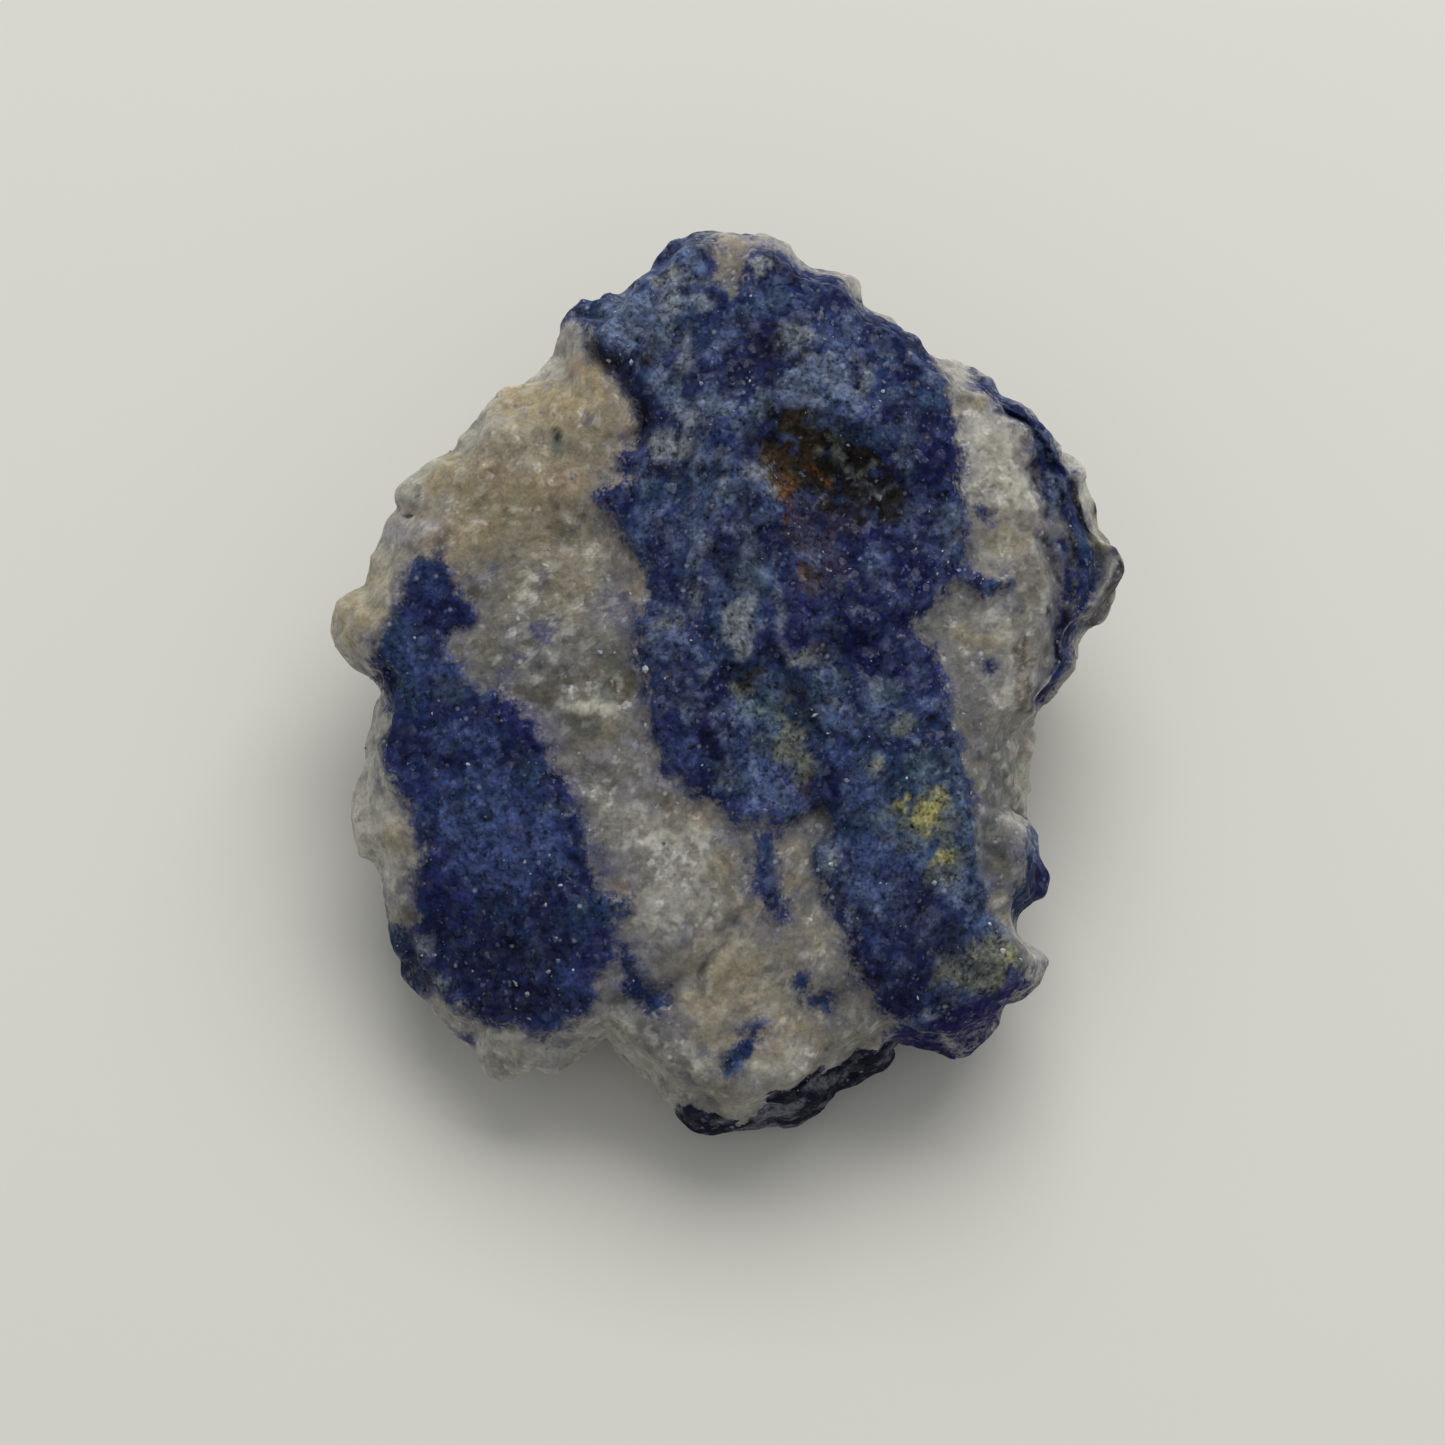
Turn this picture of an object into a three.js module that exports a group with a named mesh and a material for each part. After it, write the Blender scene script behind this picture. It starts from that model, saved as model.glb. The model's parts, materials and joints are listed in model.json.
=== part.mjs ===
// A hand-sized chip of rough dumortierite in quartz, as broken from a vein: one solid natural stone.
// It lies on its broken underside. Its best face, with the blue veins, is turned up and leans
// a little towards -Y. Millimetres, +Z up, origin under the middle of the stone on its resting plane.
//
// The form is worked out in the face frame: x to the right and y up along the best face,
// n out of it. Rays from a flat core inside the stone meet the skin once each.
import * as THREE from "three";
import { mergeVertices } from "three/addons/utils/BufferGeometryUtils.js";

// ---- Driving dimensions ----
const FACE_TILT = THREE.MathUtils.degToRad(16); // lean of the best face from level
const FACE_HEIGHT = 13; // height of the face's middle above the resting plane
const CORE_DEPTH = 6.5; // depth of the flat core under the face
const DOME_DROP = 0.0016; // fall of the face from its middle, per mm squared
const WALL_TOP = 5.2; // depth under the face's middle from which the wall leans in
const EDGE_ROUNDING = 0.5; // softness of the edges between face, wall and resting plane
const FACE_CELLS = 38; // cells of the skin's grid along each edge of the face
const SIDE_CELLS = 12; // cells of the skin's grid down the sides
const CORE_SHARE = 0.7; // size of the flat core, as a share of the outline
const AIM_SHARE = 1.12; // size of the box that the rays aim at, as a share of the outline
const AIM_HEIGHT = 7; // half the height of that box
const REACH = 24; // no skin point is further than this from the core
const HALVINGS = 22; // steps in the search for the skin along each ray
const TABLE_STEP = 0.25; // degrees between the entries of the tables by direction
const EVEN_SPREAD = 14; // degrees over which the outline is averaged for the lower walls
const NOTCH_DEPTH = [3.5, 10]; // depths between which the outline's small notches fade from the walls
const LONE_POINT = 0.3; // how far a skin point may stand out from its neighbours
const PULL_SHARE = 0.7; // share of the rest that it is drawn back by in each round
const ROUNDS = 6; // rounds of drawing back

// The stone's widest outline in the face frame, anticlockwise from the right.
const OUTLINE = [
  // right side: the stepped layers
  [17.1, 0.1], [17.6, 0.9], [17.2, 1.7], [17.5, 2.4], [18.0, 2.9], [18.5, 3.9], [18.8, 5.3],
  [18.7, 6.4], [18.2, 7.2], [18.0, 8.2], [17.8, 8.8], [17.4, 9.6], [17.3, 10.2], [16.7, 10.7],
  [16.7, 11.3], [16.1, 11.9], [15.6, 12.6], [15.1, 13.2], [14.2, 13.6], [13.3, 13.9], [12.9, 14.4],
  // upper right edge
  [12.1, 14.6], [11.7, 14.9], [11.3, 15.3], [10.6, 15.6], [10.0, 16.1], [9.5, 16.8], [8.9, 17.2],
  [8.1, 17.5], [7.3, 17.8], [6.8, 18.1], [6.5, 18.8], [5.9, 19.3], [5.0, 19.6], [4.3, 19.8],
  [3.6, 20.4], [2.9, 21.0], [2.2, 21.6], [1.4, 22.0],
  // top and upper left edge
  [0.4, 22.2], [-0.8, 22.1], [-1.9, 21.7], [-2.6, 21.2], [-3.1, 20.6], [-4.0, 20.1], [-4.6, 19.5],
  [-5.0, 18.7], [-5.6, 18.1], [-6.1, 17.4], [-7.0, 16.8], [-7.4, 16.1], [-7.9, 15.2], [-8.7, 14.8],
  [-9.4, 14.2], [-10.2, 13.8], [-11.3, 13.3], [-12.0, 12.7], [-12.6, 11.9], [-13.4, 11.2],
  [-14.2, 10.6], [-14.5, 9.7], [-15.0, 8.8], [-15.3, 8.0], [-16.0, 7.4], [-16.5, 6.5],
  // left side: the yellow lobe, the notch under it and the pale strip
  [-17.1, 5.8], [-17.8, 4.8], [-18.4, 3.7], [-18.9, 2.7], [-18.8, 2.0], [-18.2, 1.1], [-17.6, 0.5],
  [-17.0, 0.0], [-16.7, -0.9], [-16.8, -2.0], [-17.1, -3.3], [-17.4, -4.5], [-17.7, -6.0],
  [-17.8, -7.2], [-17.7, -7.9], [-17.3, -8.6], [-17.0, -9.8], [-16.7, -11.2], [-16.3, -12.5],
  [-15.6, -13.6], [-15.1, -14.6], [-14.3, -15.6],
  // lower left apron and the notch beside it
  [-13.5, -16.6], [-12.7, -17.5], [-11.9, -18.4], [-11.2, -18.6], [-10.2, -18.3], [-9.1, -17.8],
  [-7.9, -17.7], [-6.8, -17.5], [-6.1, -17.2], [-5.6, -16.9], [-5.1, -17.8], [-4.1, -18.9],
  [-2.9, -19.8], [-1.8, -20.6], [-0.9, -21.5], [0.0, -22.0],
  // bottom point and the lower right block
  [1.0, -22.2], [2.3, -22.1], [3.7, -21.8], [4.6, -21.3], [5.1, -20.1], [6.0, -19.3], [7.0, -18.6],
  [7.6, -18.2], [8.0, -17.4], [8.8, -17.3], [9.8, -17.6], [11.0, -17.7], [11.8, -17.4],
  [12.4, -16.7], [13.0, -15.9], [13.8, -15.2], [14.6, -14.5], [15.1, -13.8], [15.4, -13.2],
  // the knob and the steep side above it
  [15.2, -12.7], [14.5, -12.0], [14.7, -11.3], [15.3, -10.9], [15.8, -10.3], [16.0, -9.6],
  [15.8, -8.7], [15.4, -7.9], [14.9, -7.4], [14.3, -7.0], [14.4, -5.9], [14.6, -4.7], [14.9, -3.6],
  [15.2, -2.7], [15.5, -2.0], [16.0, -1.6], [16.5, -0.9],
];

// Bends of the face: the direction in degrees in which it starts to fall, how far out, the fall
// per mm, and how softly the bend starts.
const BENDS = [
  { direction: 98, start: 11.5, fall: 0.28, soft: 3 }, // the top end leans back
  { direction: 180, start: 10.0, fall: 0.2, soft: 3 }, // left flank
  { direction: 228, start: 12.5, fall: 0.2, soft: 3 }, // lower left apron
  { direction: 8, start: 10.5, fall: 0.2, soft: 3 }, // the right side's layers
  { direction: 294.5, start: 18.6, fall: 0.9, soft: 0.8 }, // the bevel of the lower right block
];

// The rim round the face: direction in degrees, then how wide the shoulder is from the outline
// inwards, how deep it falls, and how far the wall under it leans in, in degrees.
const RIM = [
  [0, 1.6, 2.0, 24], [20, 1.2, 1.8, 22], [38, 1.4, 2.0, 26], [52, 1.6, 2.4, 20], [75, 1.3, 2.2, 12],
  [90, 1.8, 2.6, 10], [108, 1.3, 2.2, 14], [125, 2.6, 2.6, 20], [150, 2.6, 2.8, 26],
  [172, 2.6, 3.4, 34], [184, 1.0, 1.8, 36], [204, 2.2, 2.2, 38], [222, 1.4, 2.0, 40],
  [238, 2.0, 2.2, 42], [250, 1.2, 2.4, 36], [262, 2.0, 2.6, 22], [276, 3.2, 3.0, 14],
  [288, 2.6, 3.0, 20], [298, 0.8, 1.2, 30], [312, 0.8, 1.4, 30], [320, 1.4, 2.6, 32],
  [328, 2.6, 4.0, 30], [336, 2.4, 4.6, 24], [348, 2.6, 4.2, 22],
];

// Raised plates of the face: height, width of the edge, corners.
const PLATES = [
  { // main blue vein
    height: 0.6, edge: 0.9,
    corners: [
      [-0.6, 21.6], [-4.6, 19.0], [-6.3, 16.2], [-6.2, 15.2], [-4.6, 13.3], [-3.8, 11.5],
      [-4.9, 10.2], [-6.0, 8.5], [-4.6, 6.0], [-3.4, 4.5], [-4.1, 3.2], [-3.9, 0.2], [-3.3, -2.6],
      [-1.6, -5.1], [1.2, -6.8], [3.5, -6.8], [4.6, -6.2], [5.5, -7.4], [4.3, -9.2], [4.7, -11.0],
      [6.1, -12.8], [6.9, -15.5], [11.0, -17.4], [14.3, -14.6], [13.8, -12.4], [12.5, -9.7],
      [11.9, -7.0], [11.3, -3.6], [10.2, 0.5], [9.0, 2.4], [10.9, 4.6], [11.3, 7.7], [11.1, 10.5],
      [10.9, 13.0], [9.5, 16.0], [5.3, 19.3], [1.4, 20.2], [0.3, 18.8],
    ],
  },
  { // left blue vein
    height: 0.25, edge: 0.8,
    corners: [
      [-14.1, 5.7], [-12.7, 4.0], [-11.7, 3.0], [-13.2, 1.2], [-11.4, -0.7], [-9.7, -1.0],
      [-7.9, -4.4], [-6.4, -8.2], [-4.7, -10.4], [-5.9, -14.7], [-8.9, -16.8], [-11.8, -15.8],
      [-14.5, -12.0], [-14.5, -8.3], [-15.9, -4.6], [-16.9, 0.8], [-15.4, 3.8],
    ],
  },
  { // the pale quartz ledge on the right: the step down to the outer blue layer
    height: -1.5, edge: 0.9,
    corners: [
      [12.3, 14.8], [13.1, 13.5], [13.5, 12.3], [14.7, 12.0], [15.0, 10.8], [14.4, 9.7],
      [14.9, 8.4], [15.3, 7.2], [14.9, 6.5], [15.2, 5.6], [15.8, 3.8], [15.5, 1.9], [14.9, 0.2],
      [14.1, -2.0], [14.0, -4.0], [17.0, -5.5], [19.0, -4.0], [21.0, 5.0], [19.0, 12.0], [15.0, 16.0],
    ],
  },
  { // the outermost lip: the second, lower step on the right
    height: -1.1, edge: 0.8,
    corners: [
      [15.2, 12.6], [16.0, 11.3], [16.5, 9.6], [16.9, 8.0], [17.4, 6.2], [17.5, 4.2],
      [17.2, 2.2], [16.8, -0.4], [19.5, -2.0], [21.0, 5.0], [19.5, 12.0],
    ],
  },
  { // the underside band at the bottom: the step down from the face
    height: -1.5, edge: 0.8,
    corners: [
      [-5.4, -17.2], [-3.8, -18.3], [-1.8, -19.3], [-0.6, -19.6], [0.4, -20.9], [1.8, -20.2],
      [2.4, -19.4], [4.2, -18.7], [5.3, -18.0], [6.4, -17.2], [7.3, -16.9], [8.1, -17.5],
      [9.0, -21.0], [3.0, -25.0], [-4.0, -22.0],
    ],
  },
];

// Hollows and bumps of the face: x, y, half width, half height, turn in degrees, and rise (+) or fall.
const DIMPLES = [
  [5.0, 9.8, 3.5, 1.7, -24, -1.5], // the rusty hollow
  [5.2, 6.8, 2.4, 1.9, -30, -0.7],
  [1.3, 14.8, 2.0, 1.6, 20, -0.6],
  [-2.8, 9.8, 1.6, 2.4, 15, -0.7],
  [-1.2, 3.6, 1.5, 2.3, -20, -0.5],
  [1.2, -0.8, 1.9, 1.3, -25, -0.6],
  [3.3, -3.2, 1.4, 2.6, 10, -0.5],
  [-5.2, 0.2, 2.0, 1.4, 10, -0.5],
  [4.7, -6.6, 1.3, 1.2, 0, -0.7],
  [6.0, -10.6, 1.3, 2.4, 30, -0.6],
  [-13.2, -13.2, 1.9, 1.4, -35, -0.5],
  [-8.0, 6.5, 3.4, 2.6, 10, -0.5],
  [1.6, -15.6, 3.4, 1.8, -15, -0.5],
  [4.6, 14.3, 2.8, 2.4, 10, 0.8],
  [-4.4, 17.0, 1.8, 1.8, 0, 0.6],
  [-2.6, -10.4, 2.8, 2.8, 0, 0.7],
  [8.6, -13.4, 3.2, 2.4, 35, 0.5],
  [15.1, -9.4, 1.7, 2.2, 10, 0.8], // the knob
  [-17.4, 3.0, 1.6, 2.4, -20, 0.6], // the yellow lobe
];

// Long ribs of the face: rise, half width, points.
const RIBS = [
  { rise: 0.35, width: 1.1, points: [[0.2, 10.4], [-0.3, 8.3], [-0.8, 6.6], [-1.8, 5.2], [-1.7, 3.6]] },
  { rise: 0.4, width: 1.2, points: [[1.5, 9.4], [2.3, 8.6], [3.4, 6.6], [3.9, 4.4], [2.9, 1.6], [4.0, -1.2]] },
  { rise: 0.5, width: 1.2, points: [[-0.4, 11.6], [1.8, 12.2], [4.0, 12.8], [6.6, 11.6], [8.2, 9.6]] },
  { rise: 0.6, width: 1.0, points: [[14.2, 13.3], [15.6, 11.8], [16.4, 9.2], [17.0, 6.4], [17.1, 3.8], [16.6, 0.6]] },
  { rise: -0.6, width: 1.0, points: [[-6.0, 15.0], [-4.6, 13.6], [-3.7, 11.8], [-4.7, 10.6]] },
  { rise: -0.5, width: 0.9, points: [[0.2, -12.8], [-0.8, -13.8], [-2.8, -14.9], [-4.6, -15.4]] },
  { rise: 0.5, width: 1.2, points: [[7.0, -2.0], [8.6, -5.4], [10.0, -9.0], [11.4, -12.2]] },
];

// Broken facets of the sides and back, each a plane through one point of the outline: the direction
// of that point in degrees, its depth under the face's middle, and how far the plane leans in.
const FACETS = [
  { direction: 84, depth: 9.5, lean: 32 },
  { direction: 128, depth: 6.0, lean: 44 },
  { direction: 168, depth: 7.5, lean: 50 },
  { direction: 214, depth: 5.6, lean: 52 },
  { direction: 268, depth: 7.0, lean: 44 },
  { direction: 318, depth: 7.0, lean: 50 },
  { direction: 2, depth: 8.0, lean: 44 },
  { direction: 40, depth: 8.2, lean: 38 },
];

// Fracture relief all over: how big and how deep the shell-like scoops are, and the flat chips.
const SCOOPS = [
  { size: 8.5, depth: 1.3 },
  { size: 3.6, depth: 0.45 },
];
const CHIPS = { size: 4.6, depth: 0.6, sharpness: 16 };

// ---- Small mathematics ----
const smoothstep = (low, high, value) => THREE.MathUtils.smoothstep(value, low, high);

// A repeatable random number from 0 to 1 for the grid cell i, j, k.
function cellRandom(i, j, k, stream) {
  const s = Math.sin(i * 127.1 + j * 311.7 + k * 74.7 + stream * 53.3) * 43758.5453;
  return s - Math.floor(s);
}

// The 27 grid cells round a place, each with the way to it from the point scattered in that cell,
// and the square of that distance, in cells.
function* nearCells(place) {
  const home = place.map(Math.floor);
  for (const i of [-1, 0, 1])
    for (const j of [-1, 0, 1])
      for (const k of [-1, 0, 1]) {
        const cell = [home[0] + i, home[1] + j, home[2] + k];
        const away = place.map((value, axis) => value - cell[axis] - cellRandom(...cell, axis + 1));
        yield { cell, away, far: away.reduce((sum, value) => sum + value * value, 0) };
      }
}

// Scooped relief from 0 in the middle of a scoop to about 1 on the ridges between scoops:
// the distance to the nearest scattered point, less a random head start.
function scooped(point, size) {
  let nearest = Infinity;
  for (const { cell, far } of nearCells(point.map((value) => value / size)))
    nearest = Math.min(nearest, far + 0.25 * cellRandom(...cell, 4));
  return nearest;
}

// Chipped relief: each scattered point carries a small plane, tilted at random, and the height is
// their average, weighted so that the nearest counts most: flat chips that meet in soft edges.
function chipped(point, size, sharpness) {
  let total = 0;
  let height = 0;
  for (const { cell, away, far } of nearCells(point.map((value) => value / size))) {
    const weight = Math.exp(-sharpness * far);
    const slope = (axis) => 2 * (cellRandom(...cell, axis + 5) - 0.5);
    const plane = away.reduce((sum, value, axis) => sum + value * slope(axis), 0);
    height += weight * (plane + cellRandom(...cell, 8) - 0.5);
    total += weight;
  }
  return height / total;
}

// The larger of the values, with the corner between them rounded over the given width.
const smoothMax = (a, b, width) =>
  Math.max(a, b) + Math.max(width - Math.abs(a - b), 0) ** 2 / (4 * width);

// Distance from x, y to the line through the points, and the sign for a closed outline (+ inside).
function distanceToLine(x, y, points, closed) {
  let nearest = Infinity;
  let inside = false;
  for (let i = closed ? 0 : 1, j = closed ? points.length - 1 : 0; i < points.length; j = i++) {
    const [ax, ay] = points[j];
    const [bx, by] = points[i];
    const share = ((x - ax) * (bx - ax) + (y - ay) * (by - ay)) / ((bx - ax) ** 2 + (by - ay) ** 2);
    const t = THREE.MathUtils.clamp(share, 0, 1);
    nearest = Math.min(nearest, Math.hypot(x - ax - t * (bx - ax), y - ay - t * (by - ay)));
    if (ay > y !== by > y && x < ax + ((y - ay) / (by - ay)) * (bx - ax)) inside = !inside;
  }
  return closed && inside ? nearest : closed ? -nearest : nearest;
}

// Straight-line reading of rows of [angle, ...values] round the full circle, once per TABLE_STEP degrees.
function everyDirection(rows) {
  const sorted = [...rows].sort((a, b) => a[0] - b[0]);
  const table = [];
  for (let degrees = 0; degrees < 360; degrees += TABLE_STEP) {
    const found = sorted.findIndex((row) => row[0] > degrees);
    const next = sorted[Math.max(found, 0)];
    const last = sorted.at(found < 1 ? -1 : found - 1);
    const span = THREE.MathUtils.euclideanModulo(next[0] - last[0], 360);
    const share = THREE.MathUtils.euclideanModulo(degrees - last[0], 360) / span;
    table.push(last.slice(1).map((value, i) => value + share * (next[i + 1] - value)));
  }
  return table;
}

// The table's values in the direction of x, y.
function readDirection(table, x, y) {
  const degrees = THREE.MathUtils.euclideanModulo(THREE.MathUtils.radToDeg(Math.atan2(y, x)), 360);
  const place = degrees / TABLE_STEP;
  const last = table[Math.floor(place) % table.length];
  const next = table[(Math.floor(place) + 1) % table.length];
  return last.map((value, i) => value + (place % 1) * (next[i] - value));
}

// The outline as a smooth closed curve, in rows of [direction, radius].
function outlineRows() {
  const corners = OUTLINE.map(([x, y]) => new THREE.Vector3(x, y, 0));
  const curve = new THREE.CatmullRomCurve3(corners, true, "centripetal");
  return curve.getPoints(OUTLINE.length * 6).slice(1).map((point) => {
    const degrees = THREE.MathUtils.radToDeg(Math.atan2(point.y, point.x));
    return [THREE.MathUtils.euclideanModulo(degrees, 360), Math.hypot(point.x, point.y)];
  });
}

// The table averaged over EVEN_SPREAD degrees to either side: the outline without its small notches.
function evenedOut(table) {
  const spread = EVEN_SPREAD / TABLE_STEP;
  return table.map((_, i) => {
    let sum = 0;
    for (let k = -spread; k <= spread; k++) sum += table[(i + k + table.length) % table.length][0];
    return [sum / (2 * spread + 1)];
  });
}

const radiusTable = everyDirection(outlineRows());
const evenTable = evenedOut(radiusTable);
const rimTable = everyDirection(RIM);

// ---- The body: face, wall and back ----
// The face frame's directions in the stone's own frame.
const faceUp = new THREE.Vector3(0, Math.cos(FACE_TILT), Math.sin(FACE_TILT));
const faceOut = new THREE.Vector3(0, -Math.sin(FACE_TILT), Math.cos(FACE_TILT));

// Face frame (x, y, n) to the stone's own frame, with the resting plane at z = 0.
function toStone(x, y, n) {
  return new THREE.Vector3(x, 0, FACE_HEIGHT).addScaledVector(faceUp, y).addScaledVector(faceOut, n);
}

// A facet as its direction out of the body and its distance from the middle of the face.
const facetPlanes = FACETS.map(({ direction, depth, lean }) => {
  const around = THREE.MathUtils.degToRad(direction);
  const over = THREE.MathUtils.degToRad(lean);
  const across = Math.cos(over);
  const out = [Math.cos(around) * across, Math.sin(around) * across, -Math.sin(over)];
  const [radius] = readDirection(radiusTable, out[0], out[1]);
  return { out, distance: radius * across + depth * Math.sin(over) };
});

// How far the bends have let the face fall at x, y.
function bendFall(x, y) {
  let fallen = DOME_DROP * (x * x + y * y);
  for (const { direction, start, fall, soft } of BENDS) {
    const around = THREE.MathUtils.degToRad(direction);
    fallen += fall * smoothMax(x * Math.cos(around) + y * Math.sin(around) - start, 0, soft);
  }
  return fallen;
}

// Positive outside the body and negative inside, near its skin about the distance in mm.
function outsideBody(x, y, n) {
  const radius = Math.hypot(x, y);
  const [notched] = readDirection(radiusTable, x, y);
  const [even] = readDirection(evenTable, x, y);
  const reach = THREE.MathUtils.lerp(notched, Math.min(even, notched + 0.6), smoothstep(...NOTCH_DEPTH, -n));
  const [width, depth, lean] = readDirection(rimTable, x, y);
  const inset = Math.max(1 - (reach - radius) / width, 0);
  const face = n + bendFall(x, y) + depth * inset ** 1.6;
  const leanIn = Math.tan(THREE.MathUtils.degToRad(lean));
  const wall = (radius - reach + Math.max(-WALL_TOP - n, 0) * leanIn) / Math.hypot(1, leanIn);
  let out = smoothMax(face, wall, EDGE_ROUNDING);
  for (const { out: [ox, oy, on], distance } of facetPlanes)
    out = smoothMax(out, x * ox + y * oy + n * on - distance, EDGE_ROUNDING);
  return smoothMax(out, -toStone(x, y, n).z, EDGE_ROUNDING);
}

// Which of the square's rings a place is on, from 0 in the middle to 1 on its sides.
const ringShare = (across, along) => Math.max(Math.abs(across), Math.abs(along));

// Splits each four-sided cell of the box from its innermost corner to its outermost one, so that
// no cell is folded where the square's corners are bent round the outline.
function splitOutwards(box) {
  const place = box.getAttribute("position");
  const index = box.getIndex();
  const ring = (corner) => ringShare(place.getX(corner), place.getY(corner));
  for (let i = 0; i < index.count; i += 6) {
    const [a, b, d, c] = [0, 1, 2, 4].map((k) => index.getX(i + k));
    if (Math.abs(ring(a) - ring(c)) > Math.abs(ring(b) - ring(d)))
      [a, b, c, a, c, d].forEach((corner, k) => index.setX(i + k, corner));
  }
}

// The skin point for a place on a box from -1 to 1 each way. The square's rings become rings of
// the evened outline's shape: the larger of the two sides is the share of the radius, and the
// smaller over the larger is the share of an eighth of a turn. The ray runs from there on the
// flat core to the same ring of a taller and wider box.
function bodyPoint(across, along, height) {
  const spread = ringShare(across, along);
  const eighth = Math.PI / 4;
  let turn = 0;
  if (spread > 0 && Math.abs(across) >= Math.abs(along))
    turn = (eighth * along) / across + (across < 0 ? Math.PI : 0);
  else if (spread > 0)
    turn = 2 * eighth - (eighth * across) / along + (along < 0 ? Math.PI : 0);
  const [reach] = readDirection(evenTable, Math.cos(turn), Math.sin(turn));
  const ring = new THREE.Vector3(Math.cos(turn), Math.sin(turn), 0).multiplyScalar(spread * reach);
  const start = ring.clone().multiplyScalar(CORE_SHARE).setZ(-CORE_DEPTH);
  const aim = ring.clone().multiplyScalar(AIM_SHARE).setZ(height * AIM_HEIGHT - CORE_DEPTH);
  const ray = aim.sub(start).normalize();
  let near = 0;
  let far = REACH;
  for (let step = 0; step < HALVINGS; step++) {
    const middle = (near + far) / 2;
    const at = start.clone().addScaledVector(ray, middle);
    if (outsideBody(at.x, at.y, at.z) > 0) far = middle;
    else near = middle;
  }
  return start.addScaledVector(ray, near);
}

// The unit direction out of the body at a skin point, from the slope of outsideBody.
function outward(x, y, n) {
  const step = 0.4;
  return new THREE.Vector3(
    outsideBody(x + step, y, n) - outsideBody(x - step, y, n),
    outsideBody(x, y + step, n) - outsideBody(x, y - step, n),
    outsideBody(x, y, n + step) - outsideBody(x, y, n - step),
  ).normalize();
}

// Rise of the face at x, y from its plates, dimples and ribs.
function faceRelief(x, y) {
  let rise = 0;
  for (const { height, edge, corners } of PLATES)
    rise += height * smoothstep(-edge, edge, distanceToLine(x, y, corners, true));
  for (const [cx, cy, halfWidth, halfHeight, turn, lift] of DIMPLES) {
    const angle = THREE.MathUtils.degToRad(turn);
    const along = ((x - cx) * Math.cos(angle) + (y - cy) * Math.sin(angle)) / halfWidth;
    const across = ((y - cy) * Math.cos(angle) - (x - cx) * Math.sin(angle)) / halfHeight;
    rise += lift * Math.exp(-(along * along + across * across));
  }
  for (const { rise: lift, width, points } of RIBS)
    rise += lift * Math.exp(-((distanceToLine(x, y, points, false) / width) ** 2));
  return rise;
}

// Evens out lone sharp points: a skin point further than LONE_POINT from the middle of its
// neighbours is drawn back towards it, some ROUNDS times over. The resting plane stays flat.
function evenOutPoints(skin) {
  const place = skin.getAttribute("position");
  const index = skin.getIndex();
  const neighbours = Array.from({ length: place.count }, () => new Set());
  for (let i = 0; i < index.count; i += 3)
    for (let k = 0; k < 3; k++) {
      const [a, b] = [index.getX(i + k), index.getX(i + ((k + 1) % 3))];
      neighbours[a].add(b);
      neighbours[b].add(a);
    }
  const points = Array.from(neighbours, (_, i) => new THREE.Vector3().fromBufferAttribute(place, i));
  for (let round = 0; round < ROUNDS; round++) {
    const pulls = neighbours.map((near, i) => {
      const middle = new THREE.Vector3();
      for (const j of near) middle.addScaledVector(points[j], 1 / near.size);
      const pull = middle.sub(points[i]);
      return pull.setLength(Math.max(pull.length() - LONE_POINT, 0) * PULL_SHARE);
    });
    pulls.forEach((pull, i) => {
      if (points[i].z > 0) points[i].add(pull);
    });
  }
  points.forEach(({ x, y, z }, i) => place.setXYZ(i, x, y, Math.max(z, 0)));
}

// ---- The stone ----
function roughStone() {
  const box = new THREE.BoxGeometry(2, 2, 2, FACE_CELLS, FACE_CELLS, SIDE_CELLS);
  box.deleteAttribute("normal");
  box.deleteAttribute("uv");
  splitOutwards(box);
  const skin = mergeVertices(box);
  const place = skin.getAttribute("position");
  for (let i = 0; i < place.count; i++) {
    const { x, y, z: n } = bodyPoint(place.getX(i), place.getY(i), place.getZ(i));
    const out = outward(x, y, n);
    const flatBase = smoothstep(0.05, 3, toStone(x, y, n).z);
    const faceShare = smoothstep(0.25, 0.8, out.z);
    let fracture = CHIPS.depth * chipped([x, y, n], CHIPS.size, CHIPS.sharpness);
    for (const { size, depth } of SCOOPS) fracture += depth * (scooped([x, y, n], size) - 0.45);
    const face = faceRelief(x, y) * faceShare;
    const lift = fracture * flatBase * (1 - 0.6 * faceShare);
    const point = toStone(x + out.x * lift, y + out.y * lift, n + out.z * lift + face);
    place.setXYZ(i, point.x, point.y, Math.max(point.z, 0));
  }
  evenOutPoints(skin);
  skin.computeBoundingBox();
  const middle = skin.boundingBox.getCenter(new THREE.Vector3());
  return skin.translate(-middle.x, -middle.y, 0);
}

const stoneMaterial = new THREE.MeshStandardMaterial({ color: 0x5a6478, roughness: 0.75, metalness: 0 });
const stone = new THREE.Mesh(roughStone(), stoneMaterial);
stone.name = "rough_stone";

const part = new THREE.Group();
part.add(stone);
export default part;
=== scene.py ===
# %% [markdown]
# # A rough stone of blue dumortierite in quartz
# The CAD part is a coarse solid of the whole chip. Here it gets its real skin: one closed mesh
# with the small breaks, steps, grains and stains of the broken rock. This first cell loads the
# CAD part as a fixed frame, and keeps its box, because the finished stone has to stay inside it.

import json
import math

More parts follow.
